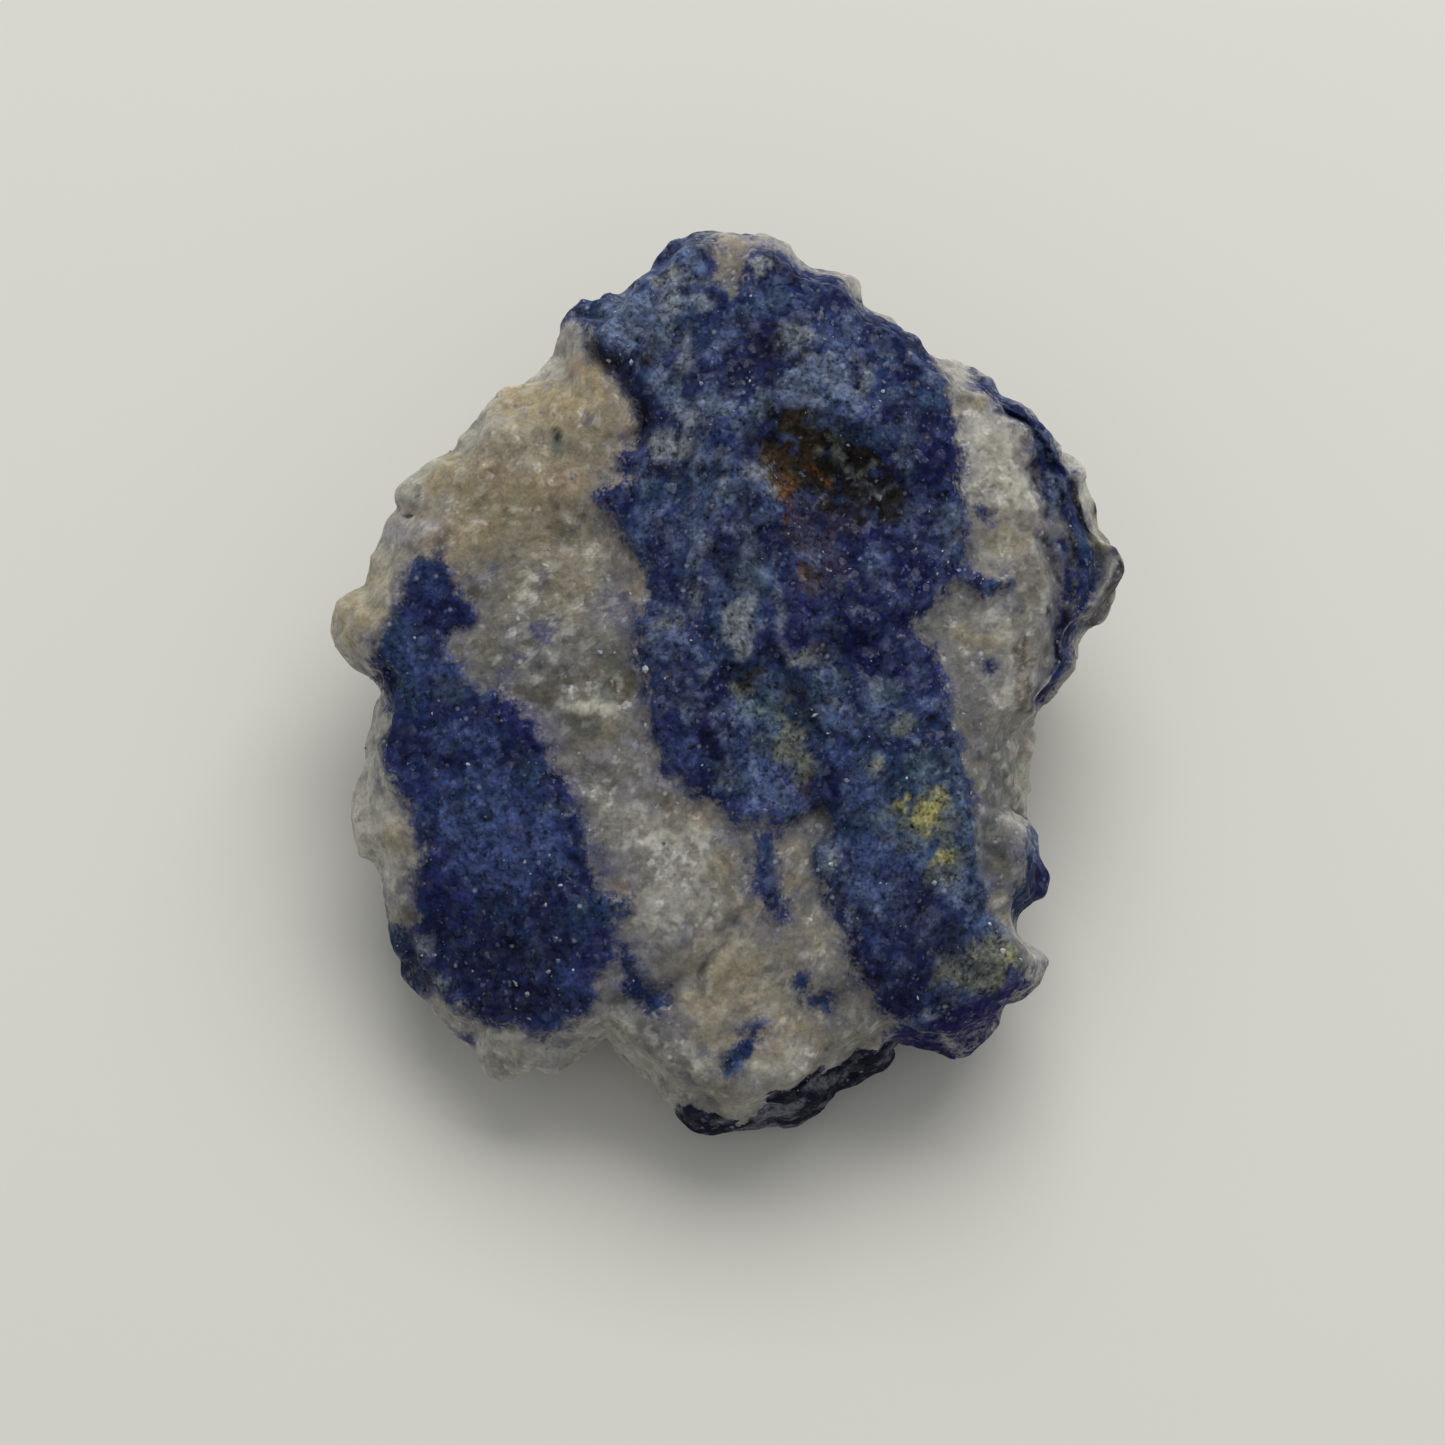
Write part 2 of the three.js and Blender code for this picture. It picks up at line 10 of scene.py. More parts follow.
import bpy
import numpy as np
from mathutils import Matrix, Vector

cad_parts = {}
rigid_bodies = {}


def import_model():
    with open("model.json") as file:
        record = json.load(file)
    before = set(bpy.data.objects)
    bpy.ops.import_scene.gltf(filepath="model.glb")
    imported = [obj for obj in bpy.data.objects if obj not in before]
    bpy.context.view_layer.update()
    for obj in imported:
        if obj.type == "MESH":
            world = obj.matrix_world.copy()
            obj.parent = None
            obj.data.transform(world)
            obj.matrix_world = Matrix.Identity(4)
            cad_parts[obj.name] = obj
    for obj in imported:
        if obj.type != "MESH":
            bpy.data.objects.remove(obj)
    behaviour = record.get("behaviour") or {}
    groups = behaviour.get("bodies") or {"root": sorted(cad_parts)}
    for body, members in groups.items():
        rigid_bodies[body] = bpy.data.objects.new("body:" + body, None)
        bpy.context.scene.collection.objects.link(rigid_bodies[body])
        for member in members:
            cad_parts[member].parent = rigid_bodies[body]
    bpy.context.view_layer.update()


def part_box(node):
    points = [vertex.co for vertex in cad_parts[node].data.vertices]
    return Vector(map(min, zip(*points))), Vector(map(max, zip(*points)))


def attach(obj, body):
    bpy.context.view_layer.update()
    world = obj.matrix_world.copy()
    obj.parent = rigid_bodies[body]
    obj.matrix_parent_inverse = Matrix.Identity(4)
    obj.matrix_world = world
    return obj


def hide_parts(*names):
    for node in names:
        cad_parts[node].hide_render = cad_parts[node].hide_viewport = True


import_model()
MM = 0.001
stone_low, stone_high = [np.array(corner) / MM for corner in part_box("rough_stone")]
print("CAD stone, mm:", np.round(stone_high - stone_low, 2))

# %% [markdown]
# ## The face frame
# A broken stone has no straight edges to measure from, so its best face is the reference.
# Points are worked out as x to the right and y up along that face, and n out of it, in
# millimetres. The face leans towards the front, so the stone is a wedge: thick at its far end.

# %% Face frame
FACE_TILT = math.radians(16)
FACE_HEIGHT = 13.0  # height of the face's middle above the resting plane
face_up = np.array([0, math.cos(FACE_TILT), math.sin(FACE_TILT)])
face_out = np.array([0, -math.sin(FACE_TILT), math.cos(FACE_TILT)])


def to_stone(points):
    """Face frame to upright frame: x stays, y runs along face_up, n along face_out, and the
    middle of the face is FACE_HEIGHT above the resting plane."""
    x, y, n = np.moveaxis(points, -1, 0)
    sideways = np.stack([x, np.zeros_like(x), np.full_like(x, FACE_HEIGHT)], -1)
    return sideways + y[..., None] * face_up + n[..., None] * face_out


def along_across(x, y, turn):
    """x, y read in a frame turned by the given degrees: along its first direction, and across."""
    a = math.radians(turn)
    return x * math.cos(a) + y * math.sin(a), y * math.cos(a) - x * math.sin(a)


def smoothstep(low, high, value):
    """0 below low, 1 above high, and 3t^2 - 2t^3 between them."""
    t = np.clip((value - low) / (high - low), 0, 1)
    return t * t * (3 - 2 * t)


def smooth_max(a, b, width):
    """The larger value, plus a parabola over the width where the two nearly meet."""
    return np.maximum(a, b) + np.maximum(width - np.abs(a - b), 0) ** 2 / (4 * width)


print("lean of the face, degrees:", round(math.degrees(FACE_TILT), 1))

# %% [markdown]
# ## The outline
# The stone's widest outline is a list of corners, anticlockwise from the right. A centripetal
# curve joins them. Because every ray from the middle meets the outline once, it can be kept as
# a table: one radius for each direction, looked up for thousands of points at once.

# %% Outline
OUTLINE = [
    (17.1, 0.1), (17.6, 0.9), (17.2, 1.7), (17.5, 2.4), (18.0, 2.9), (18.5, 3.9), (18.8, 5.3),
    (18.7, 6.4), (18.2, 7.2), (18.0, 8.2), (17.8, 8.8), (17.4, 9.6), (17.3, 10.2), (16.7, 10.7),
    (16.7, 11.3), (16.1, 11.9), (15.6, 12.6), (15.1, 13.2), (14.2, 13.6), (13.3, 13.9),
    (12.9, 14.4), (12.1, 14.6), (11.7, 14.9), (11.3, 15.3), (10.6, 15.6), (10.0, 16.1),
    (9.5, 16.8), (8.9, 17.2), (8.1, 17.5), (7.3, 17.8), (6.8, 18.1), (6.5, 18.8), (5.9, 19.3),
    (5.0, 19.6), (4.3, 19.8), (3.6, 20.4), (2.9, 21.0), (2.2, 21.6), (1.4, 22.0), (0.4, 22.2),
    (-0.8, 22.1), (-1.9, 21.7), (-2.6, 21.2), (-3.1, 20.6), (-4.0, 20.1), (-4.6, 19.5),
    (-5.0, 18.7), (-5.6, 18.1), (-6.1, 17.4), (-7.0, 16.8), (-7.4, 16.1), (-7.9, 15.2),
    (-8.7, 14.8), (-9.4, 14.2), (-10.2, 13.8), (-11.3, 13.3), (-12.0, 12.7), (-12.6, 11.9),
    (-13.4, 11.2), (-14.2, 10.6), (-14.5, 9.7), (-15.0, 8.8), (-15.3, 8.0), (-16.0, 7.4),
    (-16.5, 6.5), (-17.1, 5.8), (-17.8, 4.8), (-18.4, 3.7), (-18.9, 2.7), (-18.8, 2.0),
    (-18.2, 1.1), (-17.6, 0.5), (-17.0, 0.0), (-16.7, -0.9), (-16.8, -2.0), (-17.1, -3.3),
    (-17.4, -4.5), (-17.7, -6.0), (-17.8, -7.2), (-17.7, -7.9), (-17.3, -8.6), (-17.0, -9.8),
    (-16.7, -11.2), (-16.3, -12.5), (-15.6, -13.6), (-15.1, -14.6), (-14.3, -15.6),
    (-13.5, -16.6), (-12.7, -17.5), (-11.9, -18.4), (-11.2, -18.6), (-10.2, -18.3),
    (-9.1, -17.8), (-7.9, -17.7), (-6.8, -17.5), (-6.1, -17.2), (-5.6, -16.9), (-5.1, -17.8),
    (-4.1, -18.9), (-2.9, -19.8), (-1.8, -20.6), (-0.9, -21.5), (0.0, -22.0), (1.0, -22.2),
    (2.3, -22.1), (3.7, -21.8), (4.6, -21.3), (5.1, -20.1), (6.0, -19.3), (7.0, -18.6),
    (7.6, -18.2), (8.0, -17.4), (8.8, -17.3), (9.8, -17.6), (11.0, -17.7), (11.8, -17.4),
    (12.4, -16.7), (13.0, -15.9), (13.8, -15.2), (14.6, -14.5), (15.1, -13.8), (15.4, -13.2),
    (15.2, -12.7), (14.5, -12.0), (14.7, -11.3), (15.3, -10.9), (15.8, -10.3), (16.0, -9.6),
    (15.8, -8.7), (15.4, -7.9), (14.9, -7.4), (14.3, -7.0), (14.4, -5.9), (14.6, -4.7),
    (14.9, -3.6), (15.2, -2.7), (15.5, -2.0), (16.0, -1.6), (16.5, -0.9),
]
FULL_TURN = 360.0
TABLE_STEP = 0.25  # degrees between the entries of a table by direction
table_angles = np.arange(0, FULL_TURN, TABLE_STEP)


def every_direction(rows):
    """Rows of (direction, values...) as a table with one row per TABLE_STEP degrees, on
    straight lines between the rows given, round the whole circle."""
    rows = np.array(sorted(rows))
    columns = [
        np.interp(table_angles, rows[:, 0], rows[:, k], period=FULL_TURN)
        for k in range(1, rows.shape[1])
    ]
    return np.stack(columns, -1)


def read_direction(table, x, y):
    """The table's values in the direction of x, y, on a straight line between two entries."""
    place = (np.degrees(np.arctan2(y, x)) % FULL_TURN) / TABLE_STEP
    last = np.floor(place).astype(int)
    share = (place - last)[..., None]
    return table[last % len(table)] * (1 - share) + table[(last + 1) % len(table)] * share


def centripetal_loop(corners, steps):
    """Catmull-Rom curve through a closed loop of corners, its knots the square root of each
    span apart, with the given number of points per span."""
    p = np.array(corners)
    before, start, end, after = (np.roll(p, k, 0)[:, None] for k in (1, 0, -1, -2))

    def gap(a, b):
        """The square root of the length of each span."""
        return np.sqrt(np.linalg.norm(b - a, axis=-1, keepdims=True))

    t1 = gap(before, start)
    t2 = t1 + gap(start, end)
    t3 = t2 + gap(end, after)
    t = t1 + (t2 - t1) * np.linspace(0, 1, steps, endpoint=False)[None, :, None]
    a1 = (before * (t1 - t) + start * t) / t1
    a2 = (start * (t2 - t) + end * (t - t1)) / (t2 - t1)
    a3 = (end * (t3 - t) + after * (t - t2)) / (t3 - t2)
    b1 = (a1 * (t2 - t) + a2 * t) / t2
    b2 = (a2 * (t3 - t) + a3 * (t - t1)) / (t3 - t1)
    return ((b1 * (t2 - t) + b2 * (t - t1)) / (t2 - t1)).reshape(-1, 2)


CURVE_STEPS = 6  # points of the curve for each corner
EVEN_SPREAD = 14  # degrees over which the outline is averaged for the lower walls
loop = centripetal_loop(OUTLINE, CURVE_STEPS)
radius_table = every_direction(
    [(math.degrees(math.atan2(y, x)) % FULL_TURN, math.hypot(x, y)) for x, y in loop]
)
spread_steps = int(EVEN_SPREAD / TABLE_STEP)
even_table = sum(np.roll(radius_table, k, 0) for k in range(-spread_steps, spread_steps + 1))
even_table = even_table / (2 * spread_steps + 1)
print("outline radius, mm:", radius_table.min().round(2), "to", radius_table.max().round(2))

# %% [markdown]
# ## The body under the skin
# One function says how far a point is outside the stone. It is the largest of a few simple
# fields: the bent face, the wall under the outline, eight broken facets and the resting plane.
# Taking the largest cuts the solid by each in turn, and rounding the join softens the edges,
# as a break in real rock does.

# %% Body
DOME_DROP = 0.0016  # fall of the face from its middle, per mm squared
SHOULDER_POWER = 1.6  # how the shoulder at the rim steepens outwards
WALL_TOP = 5.2  # depth under the face's middle from which the wall leans in
EDGE_ROUNDING = 0.5
NOTCH_DEPTH = (3.5, 10.0)  # depths between which the outline's small notches fade from the walls
NOTCH_FILL = 0.6  # how far out of a notch the wall may come
BEVEL_SIDE = 294.5  # direction of the bevel at the lower right block
# direction in degrees in which the face starts to fall, how far out, fall per mm, softness
BENDS = [
    (98, 11.5, 0.28, 3), (180, 10.0, 0.2, 3), (228, 12.5, 0.2, 3), (8, 10.5, 0.2, 3),
    (BEVEL_SIDE, 18.6, 0.9, 0.8),
]
# direction, width of the shoulder at the rim, its fall, and the lean of the wall under it
RIM = [
    (0, 1.6, 2.0, 24), (20, 1.2, 1.8, 22), (38, 1.4, 2.0, 26), (52, 1.6, 2.4, 20),
    (75, 1.3, 2.2, 12), (90, 1.8, 2.6, 10), (108, 1.3, 2.2, 14), (125, 2.6, 2.6, 20),
    (150, 2.6, 2.8, 26), (172, 2.6, 3.4, 34), (184, 1.0, 1.8, 36), (204, 2.2, 2.2, 38),
    (222, 1.4, 2.0, 40), (238, 2.0, 2.2, 42), (250, 1.2, 2.4, 36), (262, 2.0, 2.6, 22),
    (276, 3.2, 3.0, 14), (288, 2.6, 3.0, 20), (298, 0.8, 1.2, 30), (312, 0.8, 1.4, 30),
    (320, 1.4, 2.6, 32), (328, 2.6, 4.0, 30), (336, 2.4, 4.6, 24), (348, 2.6, 4.2, 22),
]
# direction of a facet's point on the outline, its depth there, and the facet's lean
FACETS = [
    (84, 9.5, 32), (128, 6.0, 44), (168, 7.5, 50), (214, 5.6, 52),
    (268, 7.0, 44), (318, 7.0, 50), (2, 8.0, 44), (40, 8.2, 38),
]
rim_table = every_direction(RIM)


def outside_body(points):
    """How far points are outside the body: the largest of the face with its bends and
    shoulder, the wall that leans in below WALL_TOP, the facets, and the resting plane."""
    x, y, n = np.moveaxis(points, -1, 0)
    radius = np.hypot(x, y)
    notched = read_direction(radius_table, x, y)[..., 0]
    even = np.minimum(read_direction(even_table, x, y)[..., 0], notched + NOTCH_FILL)
    reach = notched + (even - notched) * smoothstep(*NOTCH_DEPTH, -n)
    width, depth, lean = np.moveaxis(read_direction(rim_table, x, y), -1, 0)
    inset = np.maximum(1 - (reach - radius) / width, 0)
    face = n + DOME_DROP * radius**2 + depth * inset**SHOULDER_POWER
    for direction, start, fall, softness in BENDS:
        beyond = along_across(x, y, direction)[0] - start
        face = face + fall * smooth_max(beyond, 0, softness)
    lean_in = np.tan(np.radians(lean))
    wall = (radius - reach + np.maximum(-WALL_TOP - n, 0) * lean_in) / np.hypot(1, lean_in)
    out = smooth_max(face, wall, EDGE_ROUNDING)
    for direction, depth, lean in FACETS:
        a, over = math.radians(direction), math.radians(lean)
        facing = np.array([math.cos(a) * math.cos(over), math.sin(a) * math.cos(over), -math.sin(over)])
        edge = read_direction(radius_table, facing[0], facing[1])[0]
        distance = edge * math.cos(over) + depth * math.sin(over)
        out = smooth_max(out, points @ facing - distance, EDGE_ROUNDING)
    return smooth_max(out, -to_stone(points)[..., 2], EDGE_ROUNDING)


print("body:", len(BENDS), "bends of the face,", len(RIM), "places of the rim,", len(FACETS), "facets")

# %% [markdown]
# ## A grid wrapped round the stone
# The skin is one closed net. Its top is a square grid bent onto the outline, so that the face
# that shows best gets the smallest cells. Rings of cells run down the sides, and half-way down
# each pair of cells becomes one, because the underside needs less detail. Each net point sends
# a ray out from a flat core inside the stone, and the skin is where that ray leaves the body.

# %% Net
FACE_CELLS = 224  # cells along each edge of the face's grid
FINE_RINGS = 18  # rings of cells down the upper walls
COARSE_RINGS = 26  # rings below them, with cells twice as wide
FINE_SHARE = 0.5  # share of the way down that the fine rings cover
CORE_DEPTH = 6.5  # depth of the flat core under the face
CORE_SHARE = 0.7  # size of the core, as a share of the outline
AIM_SHARE = 1.12  # size of the box that the rays aim at, as a share of the outline
AIM_HEIGHT = 7.0  # half the height of that box
REACH = 24.0  # no point of the body is further than this from the core
HALVINGS = 24  # steps in the search for the skin along each ray
TINY = 1e-9  # too small to matter, and keeps a division from failing


def grid_rim(cells):
    """The (column, row) steps round a square grid of cells, anticlockwise from a corner."""
    run = np.arange(cells)
    none, full = np.zeros(cells, int), np.full(cells, cells)
    columns = np.concatenate([run, full, cells - run, none])
    rows = np.concatenate([none, run, full, cells - run])
    return columns, rows


def square_places(cells, height):
    """Grid points of a square from -1 to 1 each way, all at one height from 1 (face) to -1."""
    steps = np.linspace(-1, 1, cells + 1)
    across, along = np.meshgrid(steps, steps)
    return np.stack([across, along, np.full_like(across, height)], -1)


def quads_to_triangles(a, b, c, d):
    """Two triangles for each four-sided cell with corners a, b, c, d in turn."""
    a, b, c, d = (np.ravel(k) for k in (a, b, c, d))
    return np.concatenate([np.stack([a, b, c], -1), np.stack([a, c, d], -1)])


def split_outwards(index, places):
    """Triangles of a square grid, anticlockwise, each cell split from its innermost corner to
    its outermost, so that none is folded where the square's corners bend round the outline."""
    ring = np.abs(places[..., :2]).max(-1)
    a, b, c, d = index[:-1, :-1], index[:-1, 1:], index[1:, 1:], index[1:, :-1]
    fall_ac = np.abs(ring[:-1, :-1] - ring[1:, 1:])
    fall_bd = np.abs(ring[:-1, 1:] - ring[1:, :-1])
    other_way = fall_bd > fall_ac + TINY
    corners = [np.where(other_way, p, q) for p, q in ((b, a), (c, b), (d, c), (a, d))]
    return quads_to_triangles(*corners)


def wrapped_net():
    """Places of the net's points on a box from -1 to 1, and its triangles: the face's grid,
    fine rings, a ring that joins cells in pairs, coarse rings, and the underside's grid."""
    places, triangles = [], []

    def add_level(level):
        """Keeps a level's places, and numbers its points in the same order."""
        first = sum(map(len, places))
        places.append(level.reshape(-1, 3))
        return first + np.arange(len(places[-1])).reshape(level.shape[:-1])

    def add_ring(rim, height):
        """Adds the rim's points once more, at the given height."""
        return add_level(np.column_stack([rim[:, :2], np.full(len(rim), height)]))

    def go_down(upper, rim, heights):
        """Rings of four-sided cells, from the ring above to each height in turn."""
        for height in heights:
            lower = add_ring(rim, height)
            beside, below = np.roll(upper, -1), np.roll(lower, -1)
            triangles.append(quads_to_triangles(upper, lower, below, beside))
            upper = lower
        return upper

    top = square_places(FACE_CELLS, 1.0)
    index = add_level(top)
    triangles.append(split_outwards(index, top))
    columns, rows = grid_rim(FACE_CELLS)
    rim = top[rows, columns]
    middle = 1 - 2 * FINE_SHARE
    ring = go_down(index[rows, columns], rim, np.linspace(1, middle, FINE_RINGS + 1)[1:])

    rim = rim[::2]
    heights = np.linspace(middle, -1, COARSE_RINGS + 2)[1:-1]
    lower = add_ring(rim, heights[0])
    even, odd, beyond, below = ring[::2], ring[1::2], np.roll(ring[::2], -1), np.roll(lower, -1)
    joins = [(even, lower, odd), (odd, lower, below), (odd, below, beyond)]
    triangles += [np.stack(corners, -1) for corners in joins]
    ring = go_down(lower, rim, heights[1:])

    bottom = square_places(FACE_CELLS // 2, -1.0)
    index = add_level(bottom)
    columns, rows = grid_rim(FACE_CELLS // 2)
    under = index[rows, columns]
    triangles.append(quads_to_triangles(ring, under, np.roll(under, -1), np.roll(ring, -1)))
    triangles.append(split_outwards(index, bottom)[:, ::-1])
    return np.concatenate(places), np.concatenate(triangles)


def core_and_aim(places):
    """Start and aim of each net point's ray. The square's rings become outline-shaped rings:
    the larger of |across| and |along| is the share of the outline's radius, and the smaller
    over the larger is the share of an eighth of a turn."""
    across, along, height = np.moveaxis(places, -1, 0)
    spread = np.maximum(np.abs(across), np.abs(along))
    wide = np.abs(across) >= np.abs(along)
    safe_across = np.where(np.abs(across) > TINY, across, TINY)
    safe_along = np.where(np.abs(along) > TINY, along, TINY)
    angle = np.where(
        wide,
        math.pi / 4 * along / safe_across + np.where(across < 0, math.pi, 0),
        math.pi / 2 - math.pi / 4 * across / safe_along + np.where(along < 0, math.pi, 0),
    )
    direction = np.stack([np.cos(angle), np.sin(angle)], -1)
    reach = read_direction(even_table, direction[:, 0], direction[:, 1])
    ring = spread[:, None] * reach * direction
    start = np.column_stack([ring * CORE_SHARE, np.full(len(ring), -CORE_DEPTH)])
    aim = np.column_stack([ring * AIM_SHARE, height * AIM_HEIGHT - CORE_DEPTH])
    return start, aim


def skin_of_body(places):
    """Halves the stretch between a near point inside and a far point outside, HALVINGS times,
    on the ray of each net point."""
    start, aim = core_and_aim(places)
    ray = (aim - start) / np.linalg.norm(aim - start, axis=1, keepdims=True)
    near, far = np.zeros(len(places)), np.full(len(places), REACH)
    for _ in range(HALVINGS):
        middle = (near + far) / 2
        outside = outside_body(start + ray * middle[:, None]) > 0
        far = np.where(outside, middle, far)
        near = np.where(outside, near, middle)
    return start + ray * near[:, None]


net_places, net_triangles = wrapped_net()
body = skin_of_body(net_places)
print("net:", len(net_places), "points,", len(net_triangles), "triangles")

# %% [markdown]
# ## Repeatable roughness
# Broken rock is rough at every scale. Four kinds of roughness cover it: scoops, where shell-like
# flakes came away and left hollows with sharp ridges; grains, the same turned over; broken
# facets, each its own small tilted plane; and clouds, which only wander, and which come drawn
# out along one direction where the rock is ribbed. All but the clouds look at the points
# scattered through space near a place, as if each were a crystal's seed. The random numbers
# depend on the place alone, so the stone is the same every time.

# %% Roughness
SINE_STEPS, STREAM_STEP, SINE_SIZE = np.array([127.1, 311.7, 74.7]), 53.3, 43758.5453
# which random number of a cell is used for what
SEED_PLACE, SEED_LEAD, CHIP_TILT, CHIP_LEVEL = (1, 2, 3), 4, (5, 6, 7), 8
SCOOP_LEAD = 0.25  # how unequal the scoops are
CHIP_SHARPNESS = 16
OCTAVE_SHIFT = 7.3
NEAR_CELLS = [np.array(step) - 1 for step in np.ndindex(3, 3, 3)]


def cell_random(cell, stream):
    """A number from 0 to 1 for each whole-number cell: the fraction left of a large sine."""
    large = np.sin(cell @ SINE_STEPS + stream * STREAM_STEP) * SINE_SIZE
    return large - np.floor(large)


def cell_randoms(cell, streams):
    """One such number for each stream, side by side."""
    return np.stack([cell_random(cell, stream) for stream in streams], -1)


def near_seeds(points, size):
    """With one seed scattered in each cell of the given size: the way from the seed, and its
    cell, both in cells, for each of the 27 cells round the points in turn."""
    place = points / size
    home = np.floor(place)
    for step in NEAR_CELLS:
        cell = home + step
        yield place - cell - cell_randoms(cell, SEED_PLACE), cell


def nearest_seed(points, size, lead=0.0):
    """The square of the distance in cells to the nearest seed, each held back by a random
    share of the lead, and the cell of that seed."""
    nearest = np.full(len(points), np.inf)
    owner = np.zeros_like(points)
    for away, cell in near_seeds(points, size):
        far = (away**2).sum(-1) + lead * cell_random(cell, SEED_LEAD)
        closer = far < nearest
        nearest[closer], owner[closer] = far[closer], cell[closer]
    return nearest, owner


def scooped(points, size):
    """Square of the distance to the nearest seed plus a random quarter: 0 in the middle of a
    scoop and about 1 on the ridges between scoops."""
    return nearest_seed(points, size, SCOOP_LEAD)[0]


def broken(points, size):
    """Each seed carries a small plane, tilted at random, and the height is their average,
    weighted by exp(-CHIP_SHARPNESS d^2): flat chips that meet in soft edges."""
    total, height = np.zeros(len(points)), np.zeros(len(points))
    for away, cell in near_seeds(points, size):
        tilt = 2 * (cell_randoms(cell, CHIP_TILT) - 0.5)
        weight = np.exp(-CHIP_SHARPNESS * (away**2).sum(-1))
        height += weight * ((away * tilt).sum(-1) + cell_random(cell, CHIP_LEVEL) - 0.5)
        total += weight
    return height / total


def crystal_pick(points, size, stream):
    """One random number from 0 to 1 for each crystal, read wherever its seed is nearest."""
    return cell_random(nearest_seed(points, size)[1], stream)


def cloud(points, size, octaves=1, stream=11):
    """Smoothly blended random numbers on a grid of the given size, about -1 to 1, with each
    further octave half the size and half the strength."""
    total, strength = np.zeros(len(points)), 1.0
    for octave in range(octaves):
        place = points / size * 2**octave + OCTAVE_SHIFT * octave
        home = np.floor(place)
        share = smoothstep(0, 1, place - home)
        value = np.zeros(len(points))
        for corner in np.ndindex(2, 2, 2):
            weight = np.abs(1 - np.array(corner) - share).prod(-1)
            value += weight * cell_random(home + corner, stream + octave)
        total += strength * (2 * value - 1)
        strength /= 2
    return total


def wandering(points, size, octaves, streams):
    """One cloud for each stream, side by side, to move points about with."""
    return np.stack([cloud(points, size, octaves, stream) for stream in streams], -1)


def streaked(points, turn, lengths, stream):
    """A cloud drawn out along a direction of the face: its features have the given lengths
    along it, across it and into the stone."""
    x, y, n = points.T
    place = np.stack([*along_across(x, y, turn), n], -1) / lengths
    return cloud(place, size=1.0, octaves=3, stream=stream)


print("seeds looked at round each point:", len(NEAR_CELLS))

# %% [markdown]
# ## Where the blue is
# Dumortierite grew in veins through the quartz, so the blue runs in broad bands across the face
# and goes on down through the stone. Each vein is a closed outline on the face. What matters to
# the finish is how far each skin point is from the nearest vein edge, counted as more than 0
# inside. Deeper points read the same outlines further along, as if each vein dipped.

# %% Veins
LEFT_VEIN = [
    (-14.2, 5.8), (-13.6, 5.7), (-13.0, 5.1), (-12.8, 4.2), (-12.2, 3.7), (-11.7, 3.1),
    (-11.9, 2.6), (-12.9, 2.3), (-13.4, 1.7), (-13.3, 1.2), (-12.7, 0.8), (-11.8, -0.2),
    (-11.0, -0.8), (-10.0, -0.9), (-9.7, -1.5), (-9.0, -2.0), (-8.7, -2.8), (-8.3, -3.8),
    (-7.7, -4.6), (-7.1, -5.6), (-6.7, -6.8), (-6.4, -8.0), (-6.0, -8.9), (-5.8, -9.8),
    (-5.0, -10.4), (-4.6, -10.3), (-4.7, -10.9), (-5.3, -11.6), (-5.4, -12.6), (-5.3, -13.3),
    (-6.0, -13.8), (-6.2, -14.5), (-6.0, -15.3), (-6.5, -15.9), (-7.5, -16.2), (-8.2, -16.8),
    (-9.2, -16.6), (-9.8, -16.2), (-10.9, -16.4), (-11.5, -15.9), (-12.3, -15.3), (-14.2, -15.0),
    (-15.3, -14.0), (-16.5, -12.7), (-17.2, -10.8), (-16.6, -10.3), (-15.8, -11.6), (-15.0, -12.0),
    (-14.6, -11.5), (-14.6, -10.4), (-14.6, -9.0), (-14.2, -7.8), (-14.6, -7.0), (-14.9, -6.2),
    (-15.8, -5.2), (-16.1, -4.3), (-16.4, -3.0), (-16.0, -2.0), (-16.6, -0.6), (-17.1, 0.8),
    (-16.6, 1.7), (-15.9, 2.7), (-15.4, 3.8), (-15.2, 4.8), (-14.7, 5.5),
]
